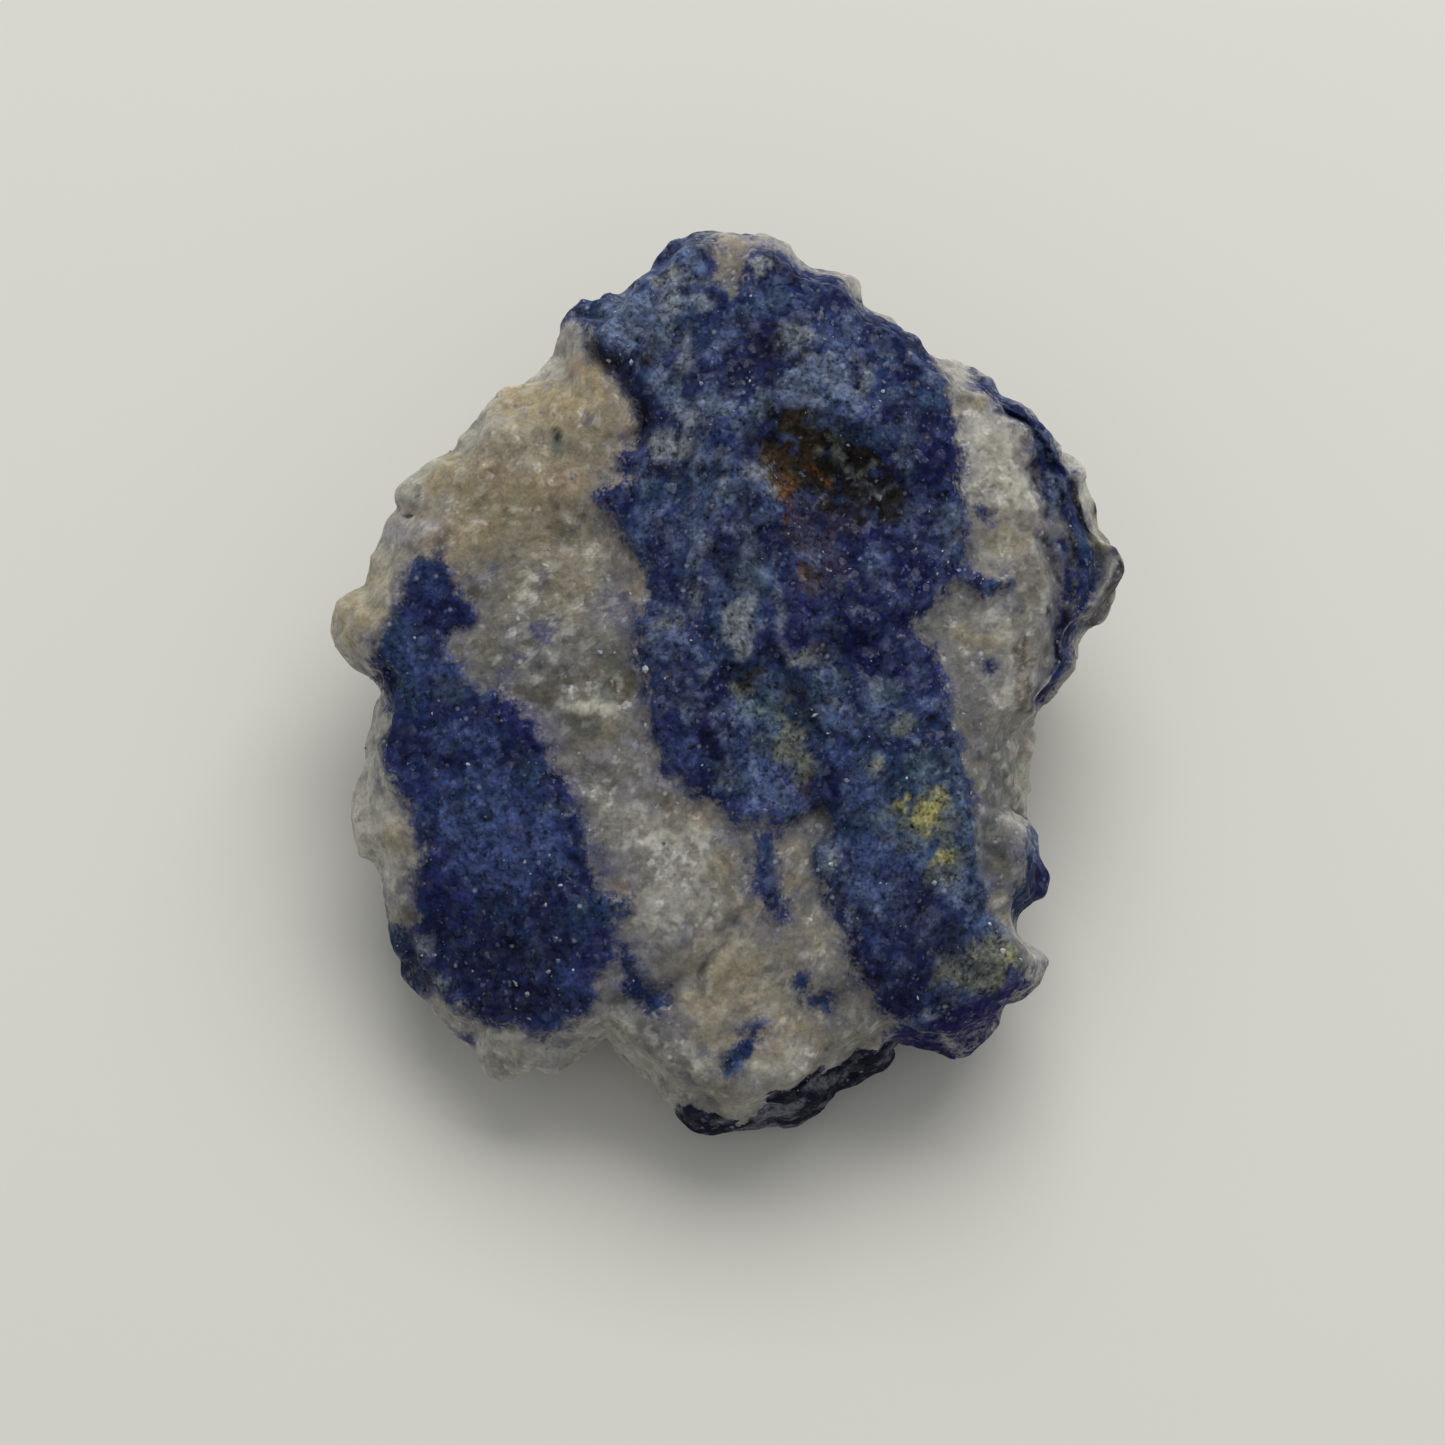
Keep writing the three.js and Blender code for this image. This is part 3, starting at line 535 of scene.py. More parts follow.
MAIN_VEIN = [
    (-0.5, 23.0), (-4.0, 23.0), (-8.0, 17.6), (-6.4, 16.3), (-6.0, 15.3), (-5.2, 14.6),
    (-4.7, 13.7), (-4.0, 12.4), (-3.9, 11.5), (-4.3, 11.1), (-4.9, 10.5), (-4.9, 9.9),
    (-4.2, 9.4), (-5.2, 9.2), (-6.1, 8.6), (-5.8, 8.1), (-5.1, 7.7), (-4.9, 6.6), (-4.3, 5.9),
    (-3.8, 5.0), (-3.5, 4.3), (-3.9, 3.5), (-4.1, 2.5), (-4.0, 1.0), (-3.8, 0.0), (-3.7, -0.8),
    (-3.5, -1.8), (-3.6, -2.6), (-3.0, -3.2), (-2.8, -4.1), (-2.0, -4.7), (-1.3, -5.3),
    (-0.4, -5.8), (0.2, -6.5), (0.9, -6.9), (1.8, -6.6), (3.1, -6.9), (3.9, -6.4), (4.6, -6.0),
    (5.0, -6.6), (5.0, -7.3), (4.2, -8.0), (4.1, -9.0), (4.6, -9.9), (4.9, -10.6), (5.4, -11.5),
    (5.8, -12.3), (6.1, -13.0), (6.4, -14.0), (7.0, -14.7), (7.1, -15.4), (7.9, -15.9),
    (8.7, -16.4), (9.8, -16.9), (11.0, -17.4), (11.5, -17.0), (12.4, -16.2), (13.3, -15.3),
    (14.3, -14.2), (14.4, -13.5), (14.0, -12.9), (13.4, -12.0), (12.8, -11.0), (12.5, -10.0),
    (12.3, -9.2), (12.0, -8.3), (11.9, -7.0), (11.6, -5.5), (11.4, -4.0), (11.2, -2.9),
    (10.7, -1.6), (10.4, -0.3), (10.2, 0.8), (9.6, 1.7), (8.8, 2.2), (9.3, 2.9), (10.0, 3.3),
    (10.5, 4.2), (11.2, 4.6), (12.2, 3.7), (12.6, 3.9), (13.5, 4.3), (13.6, 4.6), (12.4, 4.8),
    (11.2, 5.2), (11.3, 6.3), (11.4, 7.4), (11.2, 8.6), (11.0, 9.7), (11.0, 10.6), (10.9, 11.6),
    (10.8, 13.1), (10.6, 14.1), (10.2, 15.0), (9.6, 15.8), (9.2, 16.5), (8.4, 16.9), (7.4, 17.4),
    (6.6, 17.9), (5.8, 18.6), (5.1, 19.3), (4.2, 19.5), (3.0, 19.8), (2.2, 20.3), (1.5, 20.3),
    (1.0, 19.8), (0.9, 19.0), (0.6, 18.2), (-0.3, 18.5), (-0.6, 19.6), (-0.6, 20.5), (-0.4, 21.5),
]
# thin veins and stray blue: half the width, then the line it follows
BLUE_LINES = [
    (0.45, [(12.5, 14.2), (13.4, 13.8), (14.2, 13.3), (15.0, 12.5), (15.6, 11.6), (16.0, 10.6),
            (16.2, 9.6), (16.6, 8.2), (16.9, 7.0), (17.1, 5.8), (17.1, 3.8), (16.9, 2.2),
            (16.7, 0.8), (16.3, -0.8), (15.4, -1.6)]),
    (0.75, [(13.6, 13.1), (14.8, 12.4), (15.4, 11.2), (15.6, 9.8), (15.8, 8.6)]),
    (0.25, [(16.1, 6.6), (16.4, 5.0), (16.3, 3.4), (16.2, 1.4), (16.0, 0.0)]),
    (0.8, [(8.6, -17.2), (10.2, -18.2), (11.6, -18.2), (13.0, -16.9), (14.4, -15.5), (15.8, -14.2)]),
    (0.45, [(1.9, -7.6), (1.8, -9.0), (2.2, -10.0), (2.6, -10.9)]),
    (0.45, [(-4.8, -13.1), (-4.3, -14.3), (-3.3, -15.2)]),
    (0.4, [(3.4, -14.2), (4.0, -15.0), (4.9, -15.0)]),
    (0.4, [(1.4, -16.4), (1.0, -17.2), (0.3, -18.0)]),
    (0.9, [(15.0, -8.0), (15.2, -9.2), (14.6, -10.6)]),
    (0.3, [(12.2, 7.7), (12.3, 7.6)]),
    (0.22, [(12.5, 0.6), (12.6, 0.5)]),
    (0.35, [(1.1, 22.0), (1.5, 21.6)]),
    (0.25, [(-13.2, -17.0), (-12.4, -17.2)]),
    (1.0, [(20.5, 13.0), (21.5, 4.0), (20.5, -5.0), (19.5, -14.0)]),
    (0.8, [(-8.0, 26.0), (-20.0, 12.0), (-23.0, 2.0)]),
    (0.9, [(-9.0, -22.0), (-18.0, -17.0), (-22.0, -8.0)]),
]
DIP_TOP = 4.0  # depth under the face's middle from which the veins dip
VEIN_DIP = np.array([0.32, -0.1])  # mm sideways for each mm down
VEIN_WARP = 0.16  # how far a vein's edge wanders, and as much again for each mm down


def edge_distance(flat, corners, closed=True):
    """Distance from each x, y to the nearest side of the outline, counted as more than 0
    inside it: a point is inside when a line to the right crosses the sides an odd number of
    times. For an open line it is the plain distance."""
    ends = corners[1:] + corners[:1] if closed else corners[1:]
    x, y = flat[:, 0], flat[:, 1]
    nearest = np.full(len(flat), np.inf)
    inside = np.zeros(len(flat), bool)
    for (ax, ay), (bx, by) in zip(corners, ends):
        dx, dy = bx - ax, by - ay
        share = np.clip(((x - ax) * dx + (y - ay) * dy) / (dx * dx + dy * dy), 0, 1)
        nearest = np.minimum(nearest, (x - ax - share * dx) ** 2 + (y - ay - share * dy) ** 2)
        if closed and dy != 0:
            inside ^= ((ay > y) != (by > y)) & (x < ax + (y - ay) * dx / dy)
    nearest = np.sqrt(nearest)
    return np.where(inside, nearest, -nearest) if closed else nearest


def vein_places(points):
    """Where each point reads the vein outlines: its x, y moved along VEIN_DIP by its depth
    under the rim, and wandering a little on the face and more with depth."""
    depth = np.maximum(-points[:, 2] - DIP_TOP, 0)
    warp = wandering(points, size=2.6, octaves=3, streams=(21, 31))
    return points[:, :2] + depth[:, None] * VEIN_DIP + (VEIN_WARP * (1 + depth))[:, None] * warp


def blue_distance(flat):
    """Millimetres inside the nearest vein edge; less than 0 outside every vein."""
    inside = np.maximum(edge_distance(flat, LEFT_VEIN), edge_distance(flat, MAIN_VEIN))
    for half_width, line in BLUE_LINES:
        inside = np.maximum(inside, half_width - edge_distance(flat, line, closed=False))
    return inside


vein_at = vein_places(body)
blue = blue_distance(vein_at)
print("blue share of the net's points:", np.mean(blue > 0).round(3))

# %% [markdown]
# ## Relief of the face
# The face isn't flat. The veins stand a little proud of the quartz; on the right the layers
# step down like a stair; iron has eaten a hollow in the main vein. Each form is a plain bump,
# hollow, rib or step with its own place and size, all added along the face's own direction.

# %% Face relief
# steps of the face: rise, width of the edge, corners
STEPS = [
    (0.25, 0.35, LEFT_VEIN),
    (0.6, 0.4, MAIN_VEIN),
    (-1.5, 0.25, [
        (12.3, 14.8), (13.1, 13.5), (13.5, 12.3), (14.7, 12.0), (15.0, 10.8), (14.4, 9.7),
        (14.9, 8.4), (15.3, 7.2), (14.9, 6.5), (15.2, 5.6), (15.8, 3.8), (15.5, 1.9),
        (14.9, 0.2), (14.1, -2.0), (14.0, -4.0), (17.0, -5.5), (19.0, -4.0), (21.0, 5.0),
        (19.0, 12.0), (15.0, 16.0)]),
    (-1.1, 0.3, [
        (15.2, 12.6), (16.0, 11.3), (16.5, 9.6), (16.9, 8.0), (17.4, 6.2), (17.5, 4.2),
        (17.2, 2.2), (16.8, -0.4), (19.5, -2.0), (21.0, 5.0), (19.5, 12.0)]),
    (-1.5, 0.3, [
        (-5.4, -17.2), (-3.8, -18.3), (-1.8, -19.3), (-0.6, -19.6), (0.4, -20.9), (1.8, -20.2),
        (2.4, -19.4), (4.2, -18.7), (5.3, -18.0), (6.4, -17.2), (7.3, -16.9), (8.1, -17.5),
        (9.0, -21.0), (3.0, -25.0), (-4.0, -22.0)]),
]
# hollows and bumps: x, y, half width, half height, turn in degrees, rise (+) or fall
DIMPLES = [
    (5.0, 9.8, 3.5, 1.7, -24, -1.5), (5.2, 6.8, 2.4, 1.9, -30, -0.7), (1.3, 14.8, 2.0, 1.6, 20, -0.5),
    (-2.8, 9.8, 1.6, 2.4, 15, -0.7), (-1.2, 3.6, 1.5, 2.3, -20, -0.5), (1.2, -0.8, 1.9, 1.3, -25, -0.6),
    (3.3, -3.2, 1.4, 2.6, 10, -0.5), (-5.2, 0.2, 2.0, 1.4, 10, -0.5), (4.7, -6.6, 1.3, 1.2, 0, -0.7),
    (6.0, -10.6, 1.3, 2.4, 30, -0.6), (-13.2, -13.2, 1.9, 1.4, -35, -0.5), (-8.0, 6.5, 3.4, 2.6, 10, -0.5),
    (1.6, -15.6, 3.4, 1.8, -15, -0.5), (4.6, 14.3, 2.8, 2.4, 10, 0.8), (-4.4, 17.0, 1.8, 1.8, 0, 0.6),
    (-2.6, -10.4, 2.8, 2.8, 0, 0.7), (8.6, -13.4, 3.2, 2.4, 35, 0.5), (15.1, -9.4, 1.7, 2.2, 10, 0.8),
    (-17.4, 3.0, 1.6, 2.4, -20, 0.6),
]
# ribs (+) and furrows (-): rise, half width, line
RIBS = [
    (0.35, 0.9, [(0.2, 10.4), (-0.3, 8.3), (-0.8, 6.6), (-1.8, 5.2), (-1.7, 3.6)]),
    (0.4, 1.0, [(1.5, 9.4), (2.3, 8.6), (3.4, 6.6), (3.9, 4.4), (2.9, 1.6), (4.0, -1.2)]),
    (0.5, 1.1, [(-0.4, 11.6), (1.8, 12.2), (4.0, 12.8), (6.6, 11.6), (8.2, 9.6)]),
    (0.6, 0.4, [(13.0, 14.0), (14.2, 13.3), (15.6, 11.8), (16.2, 9.8), (16.6, 8.2),
                (17.1, 6.2), (17.1, 3.8), (16.8, 1.4), (16.4, -0.8)]),
    (-0.7, 0.5, [(-6.2, 15.4), (-5.2, 14.6), (-4.6, 13.6), (-3.8, 12.2), (-4.2, 11.0)]),
    (-0.6, 0.5, [(0.2, -11.2), (-0.3, -12.7), (-1.4, -13.5), (-2.8, -14.6), (-4.6, -15.4)]),
    (0.5, 1.2, [(7.0, -2.0), (8.6, -5.4), (10.0, -9.0), (11.4, -12.2)]),
]
FORM_WARP = 0.22  # how far the edges of these forms wander


def bell(points, x, y, half_width, half_height, turn):
    """1 in the middle of a turned ellipse, falling as exp(-d^2), with d its own radius."""
    along, across = along_across(points[:, 0] - x, points[:, 1] - y, turn)
    return np.exp(-((along / half_width) ** 2) - (across / half_height) ** 2)


def face_relief(points):
    """Rise of the face: the steps, then the bells of the bumps and hollows, then the ribs."""
    warped = points[:, :2] + FORM_WARP * wandering(points, size=1.1, octaves=2, streams=(41, 51))
    rise = np.zeros(len(points))
    for height, edge, corners in STEPS:
        rise += height * smoothstep(-edge, edge, edge_distance(warped, corners))
    for *place, lift in DIMPLES:
        rise += lift * bell(warped, *place)
    for lift, width, line in RIBS:
        rise += lift * np.exp(-((edge_distance(warped, line, closed=False) / width) ** 2))
    return rise


print("forms of the face:", len(STEPS), "steps,", len(DIMPLES), "bumps and hollows,", len(RIBS), "ribs")

# %% [markdown]
# ## Roughness of the skin
# The large flakes break through quartz and blue alike, and are shallower on the face. Finer
# breaks belong to the stone they are in: the quartz parts in sugary chips, and the blue stands
# up in small round grains, with low ridges in the main vein and a deep pit here and there. The
# clear ledge at the right stays calmer. All of it moves the skin along the body's own outward
# direction, so that the walls get it too; only the forms of the face move along n.

# %% Skin
# the clear quartz ledge at the right, as x, y, half width, half height, turn
CLEAR_LEDGE = (12.7, 8.6, 2.2, 5.0, 0)
LEDGE_CALM = 0.65  # share of the finer roughness that it is without
RIDGE_TURN = -66  # direction of the main vein's ridges, in degrees
RIDGE_LENGTHS = (2.0, 0.85, 1.5)
RIDGE_WARP = 0.7  # how far the ridges wander
RIDGE_RISE = 0.06
MAIN_EDGE = (0, 0.6)  # mm inside the main vein's edge between which its ridges set in
# scoops and chips by size and depth in mm: first the flakes, which the solid part has too
FLAKE_SCOOPS = ((8.5, 1.3), (3.6, 0.45))
FLAKE_CHIPS = (4.6, 0.6)
FACE_EVENNESS = 0.6  # share of the flakes' depth that the face is without
WALL_CHIPS = (2.2, 0.35)
MIDDLE_SCOOPS, MIDDLE_CLOUD = (2.3, 0.18), (1.3, 0.08)
QUARTZ_CHIPS, QUARTZ_SUGAR = (1.6, 0.1), (0.6, 0.035)
QUARTZ_SCOOPS = (0.9, 0.03)
BLUE_GRAINS = ((1.05, 0.16), (0.52, 0.1))
PIT_SIZE, PIT_WIDTH, PIT_DEPTH = 1.9, 0.03, 0.4
SCOOP_MEAN, FINE_SCOOP_MEAN = 0.45, 0.4  # usual height of a scooped relief, taken off it
FACE_LEAN = (0.25, 0.8)  # share along n of the outward direction, from wall to face
BASE_CALM = (0.05, 3)  # heights between which the roughness sets in above the resting plane
EDGE_BLEND = 0.25  # mm each side of a vein's edge over which the two reliefs meet
GRADIENT_STEP = 0.4
LONE_POINT = 0.09  # how far a point may stand out from its neighbours
PULL_SHARE = 0.7  # share of the rest that it is drawn back by in each round
SETTLING = 8  # rounds of drawing back


def outward(points):
    """Unit direction out of the body: the slope of outside_body over a short step each way."""
    slope = np.stack(
        [outside_body(points + e) - outside_body(points - e) for e in GRADIENT_STEP * np.eye(3)], -1
    )
    return slope / np.linalg.norm(slope, axis=-1, keepdims=True)


def scoops(size, depth, mean=SCOOP_MEAN):
    """Scooped relief on the body, depth times its height over the mean."""
    return depth * (scooped(body, size) - mean)


def chips(size, depth):
    """Chipped relief on the body, depth times the height of its planes."""
    return depth * broken(body, size)


out = outward(body)
face_share = smoothstep(*FACE_LEAN, out[:, 2])
off_base = smoothstep(*BASE_CALM, to_stone(body)[:, 2])
in_blue = smoothstep(-EDGE_BLEND, EDGE_BLEND, blue)
relief = face_relief(body) * face_share

in_main = smoothstep(*MAIN_EDGE, edge_distance(vein_at, MAIN_VEIN))
wavy = body + RIDGE_WARP * wandering(body, size=2.4, octaves=2, streams=(161, 171, 181))
streaks = streaked(wavy, RIDGE_TURN, RIDGE_LENGTHS, 121)

flakes = sum(scoops(*scoop) for scoop in FLAKE_SCOOPS) + chips(*FLAKE_CHIPS)
flakes *= 1 - FACE_EVENNESS * face_share
flakes += chips(*WALL_CHIPS) * (1 - face_share)
calm = 1 - LEDGE_CALM * bell(body, *CLEAR_LEDGE)
middle_sized = scoops(*MIDDLE_SCOOPS) + MIDDLE_CLOUD[1] * cloud(body, MIDDLE_CLOUD[0], 2)
quartz_grain = chips(*QUARTZ_CHIPS) + scoops(*QUARTZ_SCOOPS, FINE_SCOOP_MEAN) + chips(*QUARTZ_SUGAR)
blue_grain = sum(-scoops(*grain, FINE_SCOOP_MEAN) for grain in BLUE_GRAINS)
blue_grain += RIDGE_RISE * in_main * streaks
pits = np.exp(-scooped(body, PIT_SIZE) / PIT_WIDTH)
fine = (1 - in_blue) * quartz_grain * calm + in_blue * blue_grain
lift = (flakes + middle_sized * calm + fine - PIT_DEPTH * in_blue * pits) * off_base
skin = body + out * lift[:, None]
skin[:, 2] += relief * off_base


def settled(points, triangles):
    """Draws lone sharp points back: one further than LONE_POINT from the middle of its
    neighbours gives up PULL_SHARE of the rest, SETTLING times over."""
    sides = np.concatenate([triangles[:, [0, 1]], triangles[:, [1, 2]], triangles[:, [2, 0]]])
    near, count = sides.ravel(), len(points)
    other = sides[:, ::-1].ravel()
    weight = np.bincount(near, minlength=count)[:, None]
    for _ in range(SETTLING):
        total = np.stack([np.bincount(near, points[other, k], count) for k in range(3)], -1)
        pull = total / weight - points
        length = np.linalg.norm(pull, axis=1, keepdims=True)
        points = points + pull * PULL_SHARE * np.maximum(1 - LONE_POINT / np.maximum(length, TINY), 0)
    return points


skin = settled(skin, net_triangles)
print("relief, mm:", relief.min().round(2), "to", relief.max().round(2))

# %% [markdown]
# ## The mesh
# The net's points move to the upright frame and are centred in the CAD part's box. Where the
# fine skin would reach past that box it is drawn in by the small share it needs. The resting
# plane stays exactly flat.

# %% Mesh
upright = to_stone(skin)
upright[:, 2] = np.maximum(upright[:, 2], 0)
own_low, own_high = upright.min(0), upright.max(0)
fit = np.minimum(1, (stone_high - stone_low) / (own_high - own_low))
middle = (own_low + own_high) / 2
target = (stone_low + stone_high) / 2
middle[2] = target[2] = 0
placed = ((upright - middle) * fit + target) * MM
print("drawn in to fit, per axis:", np.round(fit, 4))


def mesh_piece(name, points, triangles):
    """A new object at the origin with the points, in metres, and triangles in its mesh."""
    mesh = bpy.data.meshes.new(name)
    mesh.from_pydata(points.tolist(), [], triangles.tolist())
    mesh.polygons.foreach_set("use_smooth", np.ones(len(triangles), bool))
    mesh.update()
    piece = bpy.data.objects.new(name, mesh)
    bpy.context.scene.collection.objects.link(piece)
    return piece


stone = mesh_piece("dumortierite_skin", placed, net_triangles)

# %% [markdown]
# ## Patches of colour
# Neither the blue nor the quartz is one colour. Iron has burnt a hollow brown-black, with orange
# at its edge; sulphur-yellow dust sits on the lower vein; the quartz is ochre, frosty or glassy
# in places. Painting these on an image would need it unwrapped. Instead each is a soft ellipse
# or line on the face, broken up by clouds and crystals, and kept as a colour at every point.
# Every point gets two colours: what it is where the vein covers it, and what it is as quartz.

# %% Patches
# tone by name: screen colour, then its patches as x, y, half width, half height, turn, strength
VEIN_PATCHES = {
    "mid blue": ((56, 70, 108), [
        (-11.2, -7.0, 2.4, 2.6, 0, 0.6), (-13.8, 1.2, 1.6, 1.8, 0, 0.5), (-8.8, -7.8, 1.3, 1.2, 0, 0.5),
        (-10.4, -9.2, 1.5, 0.9, 0, 0.6), (-12.5, -2.8, 1.8, 0.6, 0, 0.5), (-14.0, 4.0, 0.8, 0.6, 0, 0.4),
        (7.6, -9.0, 1.6, 1.8, 0, 0.5), (9.5, -1.2, 0.6, 1.1, 0, 0.7), (-1.6, -4.0, 1.4, 1.0, -40, 0.5),
        (2.0, -4.8, 1.7, 1.3, 0, 0.5), (-3.0, 19.2, 1.0, 1.4, -30, 0.5), (5.4, -2.6, 0.7, 2.4, 10, 0.5),
        (1.9, 8.3, 0.9, 0.8, 0, 0.7), (6.4, -5.6, 1.0, 1.4, 0, 0.5), (2.5, -5.6, 1.6, 0.9, 0, 0.5)]),
    "royal": ((10, 18, 58), [
        (4.3, 18.3, 1.9, 1.1, -20, 0.8), (7.6, 2.8, 2.9, 3.6, 0, 1.0), (-0.9, -5.0, 1.7, 0.6, -40, 0.8),
        (9.2, 10.2, 1.8, 3.0, 0, 0.85), (9.6, 15.0, 1.2, 1.8, 30, 0.6), (-5.1, 8.4, 1.1, 0.7, -20, 0.9),
        (-4.6, 10.4, 0.6, 0.7, 0, 0.9), (-2.9, 5.0, 0.8, 2.4, 0, 0.6), (11.8, 4.8, 1.4, 0.35, 0, 0.6),
        (-13.6, 3.2, 1.8, 0.7, -20, 0.6), (8.8, 6.4, 1.9, 1.6, 0, 0.6), (2.3, -10.2, 0.5, 0.7, 0, 0.7),
        (-16.2, -0.4, 0.6, 1.2, 0, 0.7), (-2.6, 7.6, 0.9, 1.6, 0, 0.5), (5.6, -5.6, 0.6, 1.5, 0, 0.6)]),
    "slate": ((76, 87, 107), [
        (4.5, 13.7, 1.9, 1.3, 0, 0.85), (-4.5, 16.9, 1.6, 1.5, 0, 0.6), (-2.2, 13.0, 2.1, 0.55, -58, 0.7),
        (0.2, 12.8, 1.8, 0.6, 0, 0.7), (3.0, 16.0, 1.0, 0.8, -20, 0.7), (6.9, -3.7, 0.9, 0.6, 0, 0.9),
        (13.0, -10.9, 2.6, 0.35, -66, 0.8), (15.1, -7.9, 0.9, 0.7, 0, 1.0), (10.7, 7.2, 0.5, 1.0, 0, 0.6),
        (15.4, 11.0, 0.6, 1.3, -15, 0.9), (15.7, 8.2, 0.4, 1.6, -5, 0.8), (16.0, 5.0, 0.3, 1.2, 0, 0.5),
        (-8.0, -6.0, 0.7, 0.5, 0, 0.4), (13.4, 13.7, 1.0, 0.4, -30, 0.7), (1.0, 6.2, 0.6, 1.8, 10, 0.5),
        (-2.7, 2.6, 0.8, 0.6, 0, 0.8), (-1.9, 0.7, 0.4, 0.4, 0, 1.0), (5.0, -8.2, 0.7, 0.6, 30, 1.0),
        (1.4, -7.2, 0.7, 0.5, 0, 0.6), (2.2, -9.0, 0.4, 1.0, 0, 0.4), (-3.2, 1.6, 0.5, 0.5, 0, 0.5),
        (10.9, -10.2, 0.9, 0.9, 0, 0.6), (8.0, -7.4, 0.8, 0.5, 0, 0.6), (-16.6, -11.6, 0.3, 0.9, 0, 0.5)]),
    "teal": ((58, 72, 80), [
        (1.8, -1.6, 1.3, 0.9, -25, 0.85), (7.6, -0.6, 0.7, 0.6, 0, 0.7), (0.9, 12.6, 1.0, 0.4, 0, 0.5),
        (0.4, -4.6, 0.9, 0.8, 0, 0.6), (2.0, -3.0, 0.8, 0.8, 0, 0.5), (7.0, -6.4, 0.7, 0.5, 0, 0.7),
        (-3.2, 16.0, 1.1, 0.7, 0, 0.5), (1.2, 4.6, 0.7, 1.0, 0, 0.5), (8.3, -2.2, 0.8, 0.6, 0, 0.7),
        (9.6, -4.0, 1.1, 0.6, 0, 0.6), (5.4, 0.4, 0.5, 0.9, 20, 0.5), (10.2, -12.0, 1.0, 0.6, 20, 0.5),
        (-9.2, -12.8, 1.0, 0.8, 0, 0.5), (-13.0, -0.6, 0.9, 0.6, 0, 0.4), (8.6, 11.0, 0.6, 1.6, 0, 0.4)]),
    "pale": ((98, 102, 103), [
        (-2.4, 18.7, 1.1, 0.6, 0, 0.8), (-1.8, 17.5, 1.1, 0.5, 0, 0.6), (-1.9, 15.1, 0.4, 1.1, 0, 0.6),
        (3.1, 16.1, 0.9, 0.6, -10, 0.6), (-2.7, 10.8, 0.9, 0.7, 0, 0.8), (0.8, 2.7, 0.8, 1.5, 0, 0.8),
        (-2.7, 2.5, 0.6, 0.4, 0, 0.6), (2.0, 19.1, 0.55, 0.5, 0, 1.0), (-1.0, 20.8, 0.3, 0.8, 10, 0.5),
        (5.0, -8.5, 0.6, 0.4, 30, 0.7), (3.6, 0.8, 0.5, 0.4, 0, 0.8), (7.2, -4.2, 0.7, 0.4, -20, 0.7),
        (6.4, 14.2, 0.4, 1.2, 20, 0.4), (-1.4, 11.9, 0.9, 0.4, -30, 0.5), (15.3, -12.9, 0.5, 0.5, 0, 0.8),
        (-13.8, -14.6, 1.0, 0.6, -30, 0.6), (-14.2, -12.8, 0.5, 0.8, 0, 0.5)]),
    # some navy patches are painted shade: the dark zone at (6.7, -13.5), the shadow under the ledge at (1.6,
    # 10.3) and (7.5, 8.8), and the shade left of the small cliff at (1.2, 15.5)
    "navy": ((15, 19, 50), [
        (1.2, 15.5, 1.2, 1.8, 0, 0.95), (-2.4, 9.5, 1.5, 0.45, 0, 0.8), (1.6, 10.3, 0.5, 0.8, 0, 0.95),
        (8.5, 12.6, 0.8, 0.7, 0, 0.9), (0.5, 0.5, 0.8, 0.5, 0, 0.9), (-0.6, -2.6, 0.6, 0.8, 0, 0.8),
        (3.3, -1.0, 1.4, 0.35, -28, 0.9), (6.1, 4.9, 1.4, 0.7, -20, 0.5), (9.4, -11.6, 1.7, 2.0, 0, 0.75),
        (6.7, -13.5, 0.8, 1.7, 25, 0.9), (8.1, -15.0, 1.1, 0.8, -40, 0.9), (15.1, -9.7, 0.65, 0.6, 0, 1.0),
        (-10.4, -13.6, 2.2, 2.6, 0, 0.85), (-8.2, -11.6, 1.0, 1.8, 0, 0.75), (-15.5, -3.2, 0.8, 0.9, 0, 0.6),
        (-7.9, -5.0, 0.7, 1.0, 0, 0.7), (-13.5, 1.9, 0.5, 0.9, 0, 0.5), (-15.0, -13.4, 1.4, 0.7, -45, 0.7),
        (-16.5, 0.9, 0.4, 0.8, 0, 0.7), (-13.0, -11.4, 1.1, 0.9, 0, 0.6), (-8.0, -15.4, 1.4, 0.8, 0, 0.6),
        (7.5, 8.8, 1.2, 0.8, -20, 0.8), (5.0, -10.4, 0.5, 1.1, 20, 0.7), (-0.8, 14.4, 1.4, 0.4, 0, 0.5),
        (-4.0, 11.8, 0.5, 1.0, 0, 0.8), (9.9, 3.2, 0.8, 0.6, 0, 0.6), (14.6, -1.2, 1.2, 0.6, 40, 0.8),
        (10.3, -3.2, 0.5, 1.0, 0, 0.5), (0.4, 5.4, 0.4, 0.9, 0, 0.5), (-13.9, -7.6, 0.4, 1.8, 0, 0.5)]),
    "plum": ((38, 35, 54), [
        (5.2, 7.4, 1.2, 1.1, -10, 1.0), (4.0, 6.2, 0.7, 1.4, 10, 0.9), (5.0, 5.4, 0.9, 1.4, 0, 0.8),
        (-2.4, -0.4, 0.7, 0.9, 0, 0.4), (3.2, -0.6, 0.6, 0.4, 0, 0.5), (-15.9, -11.2, 0.5, 0.6, 0, 0.6)]),
}
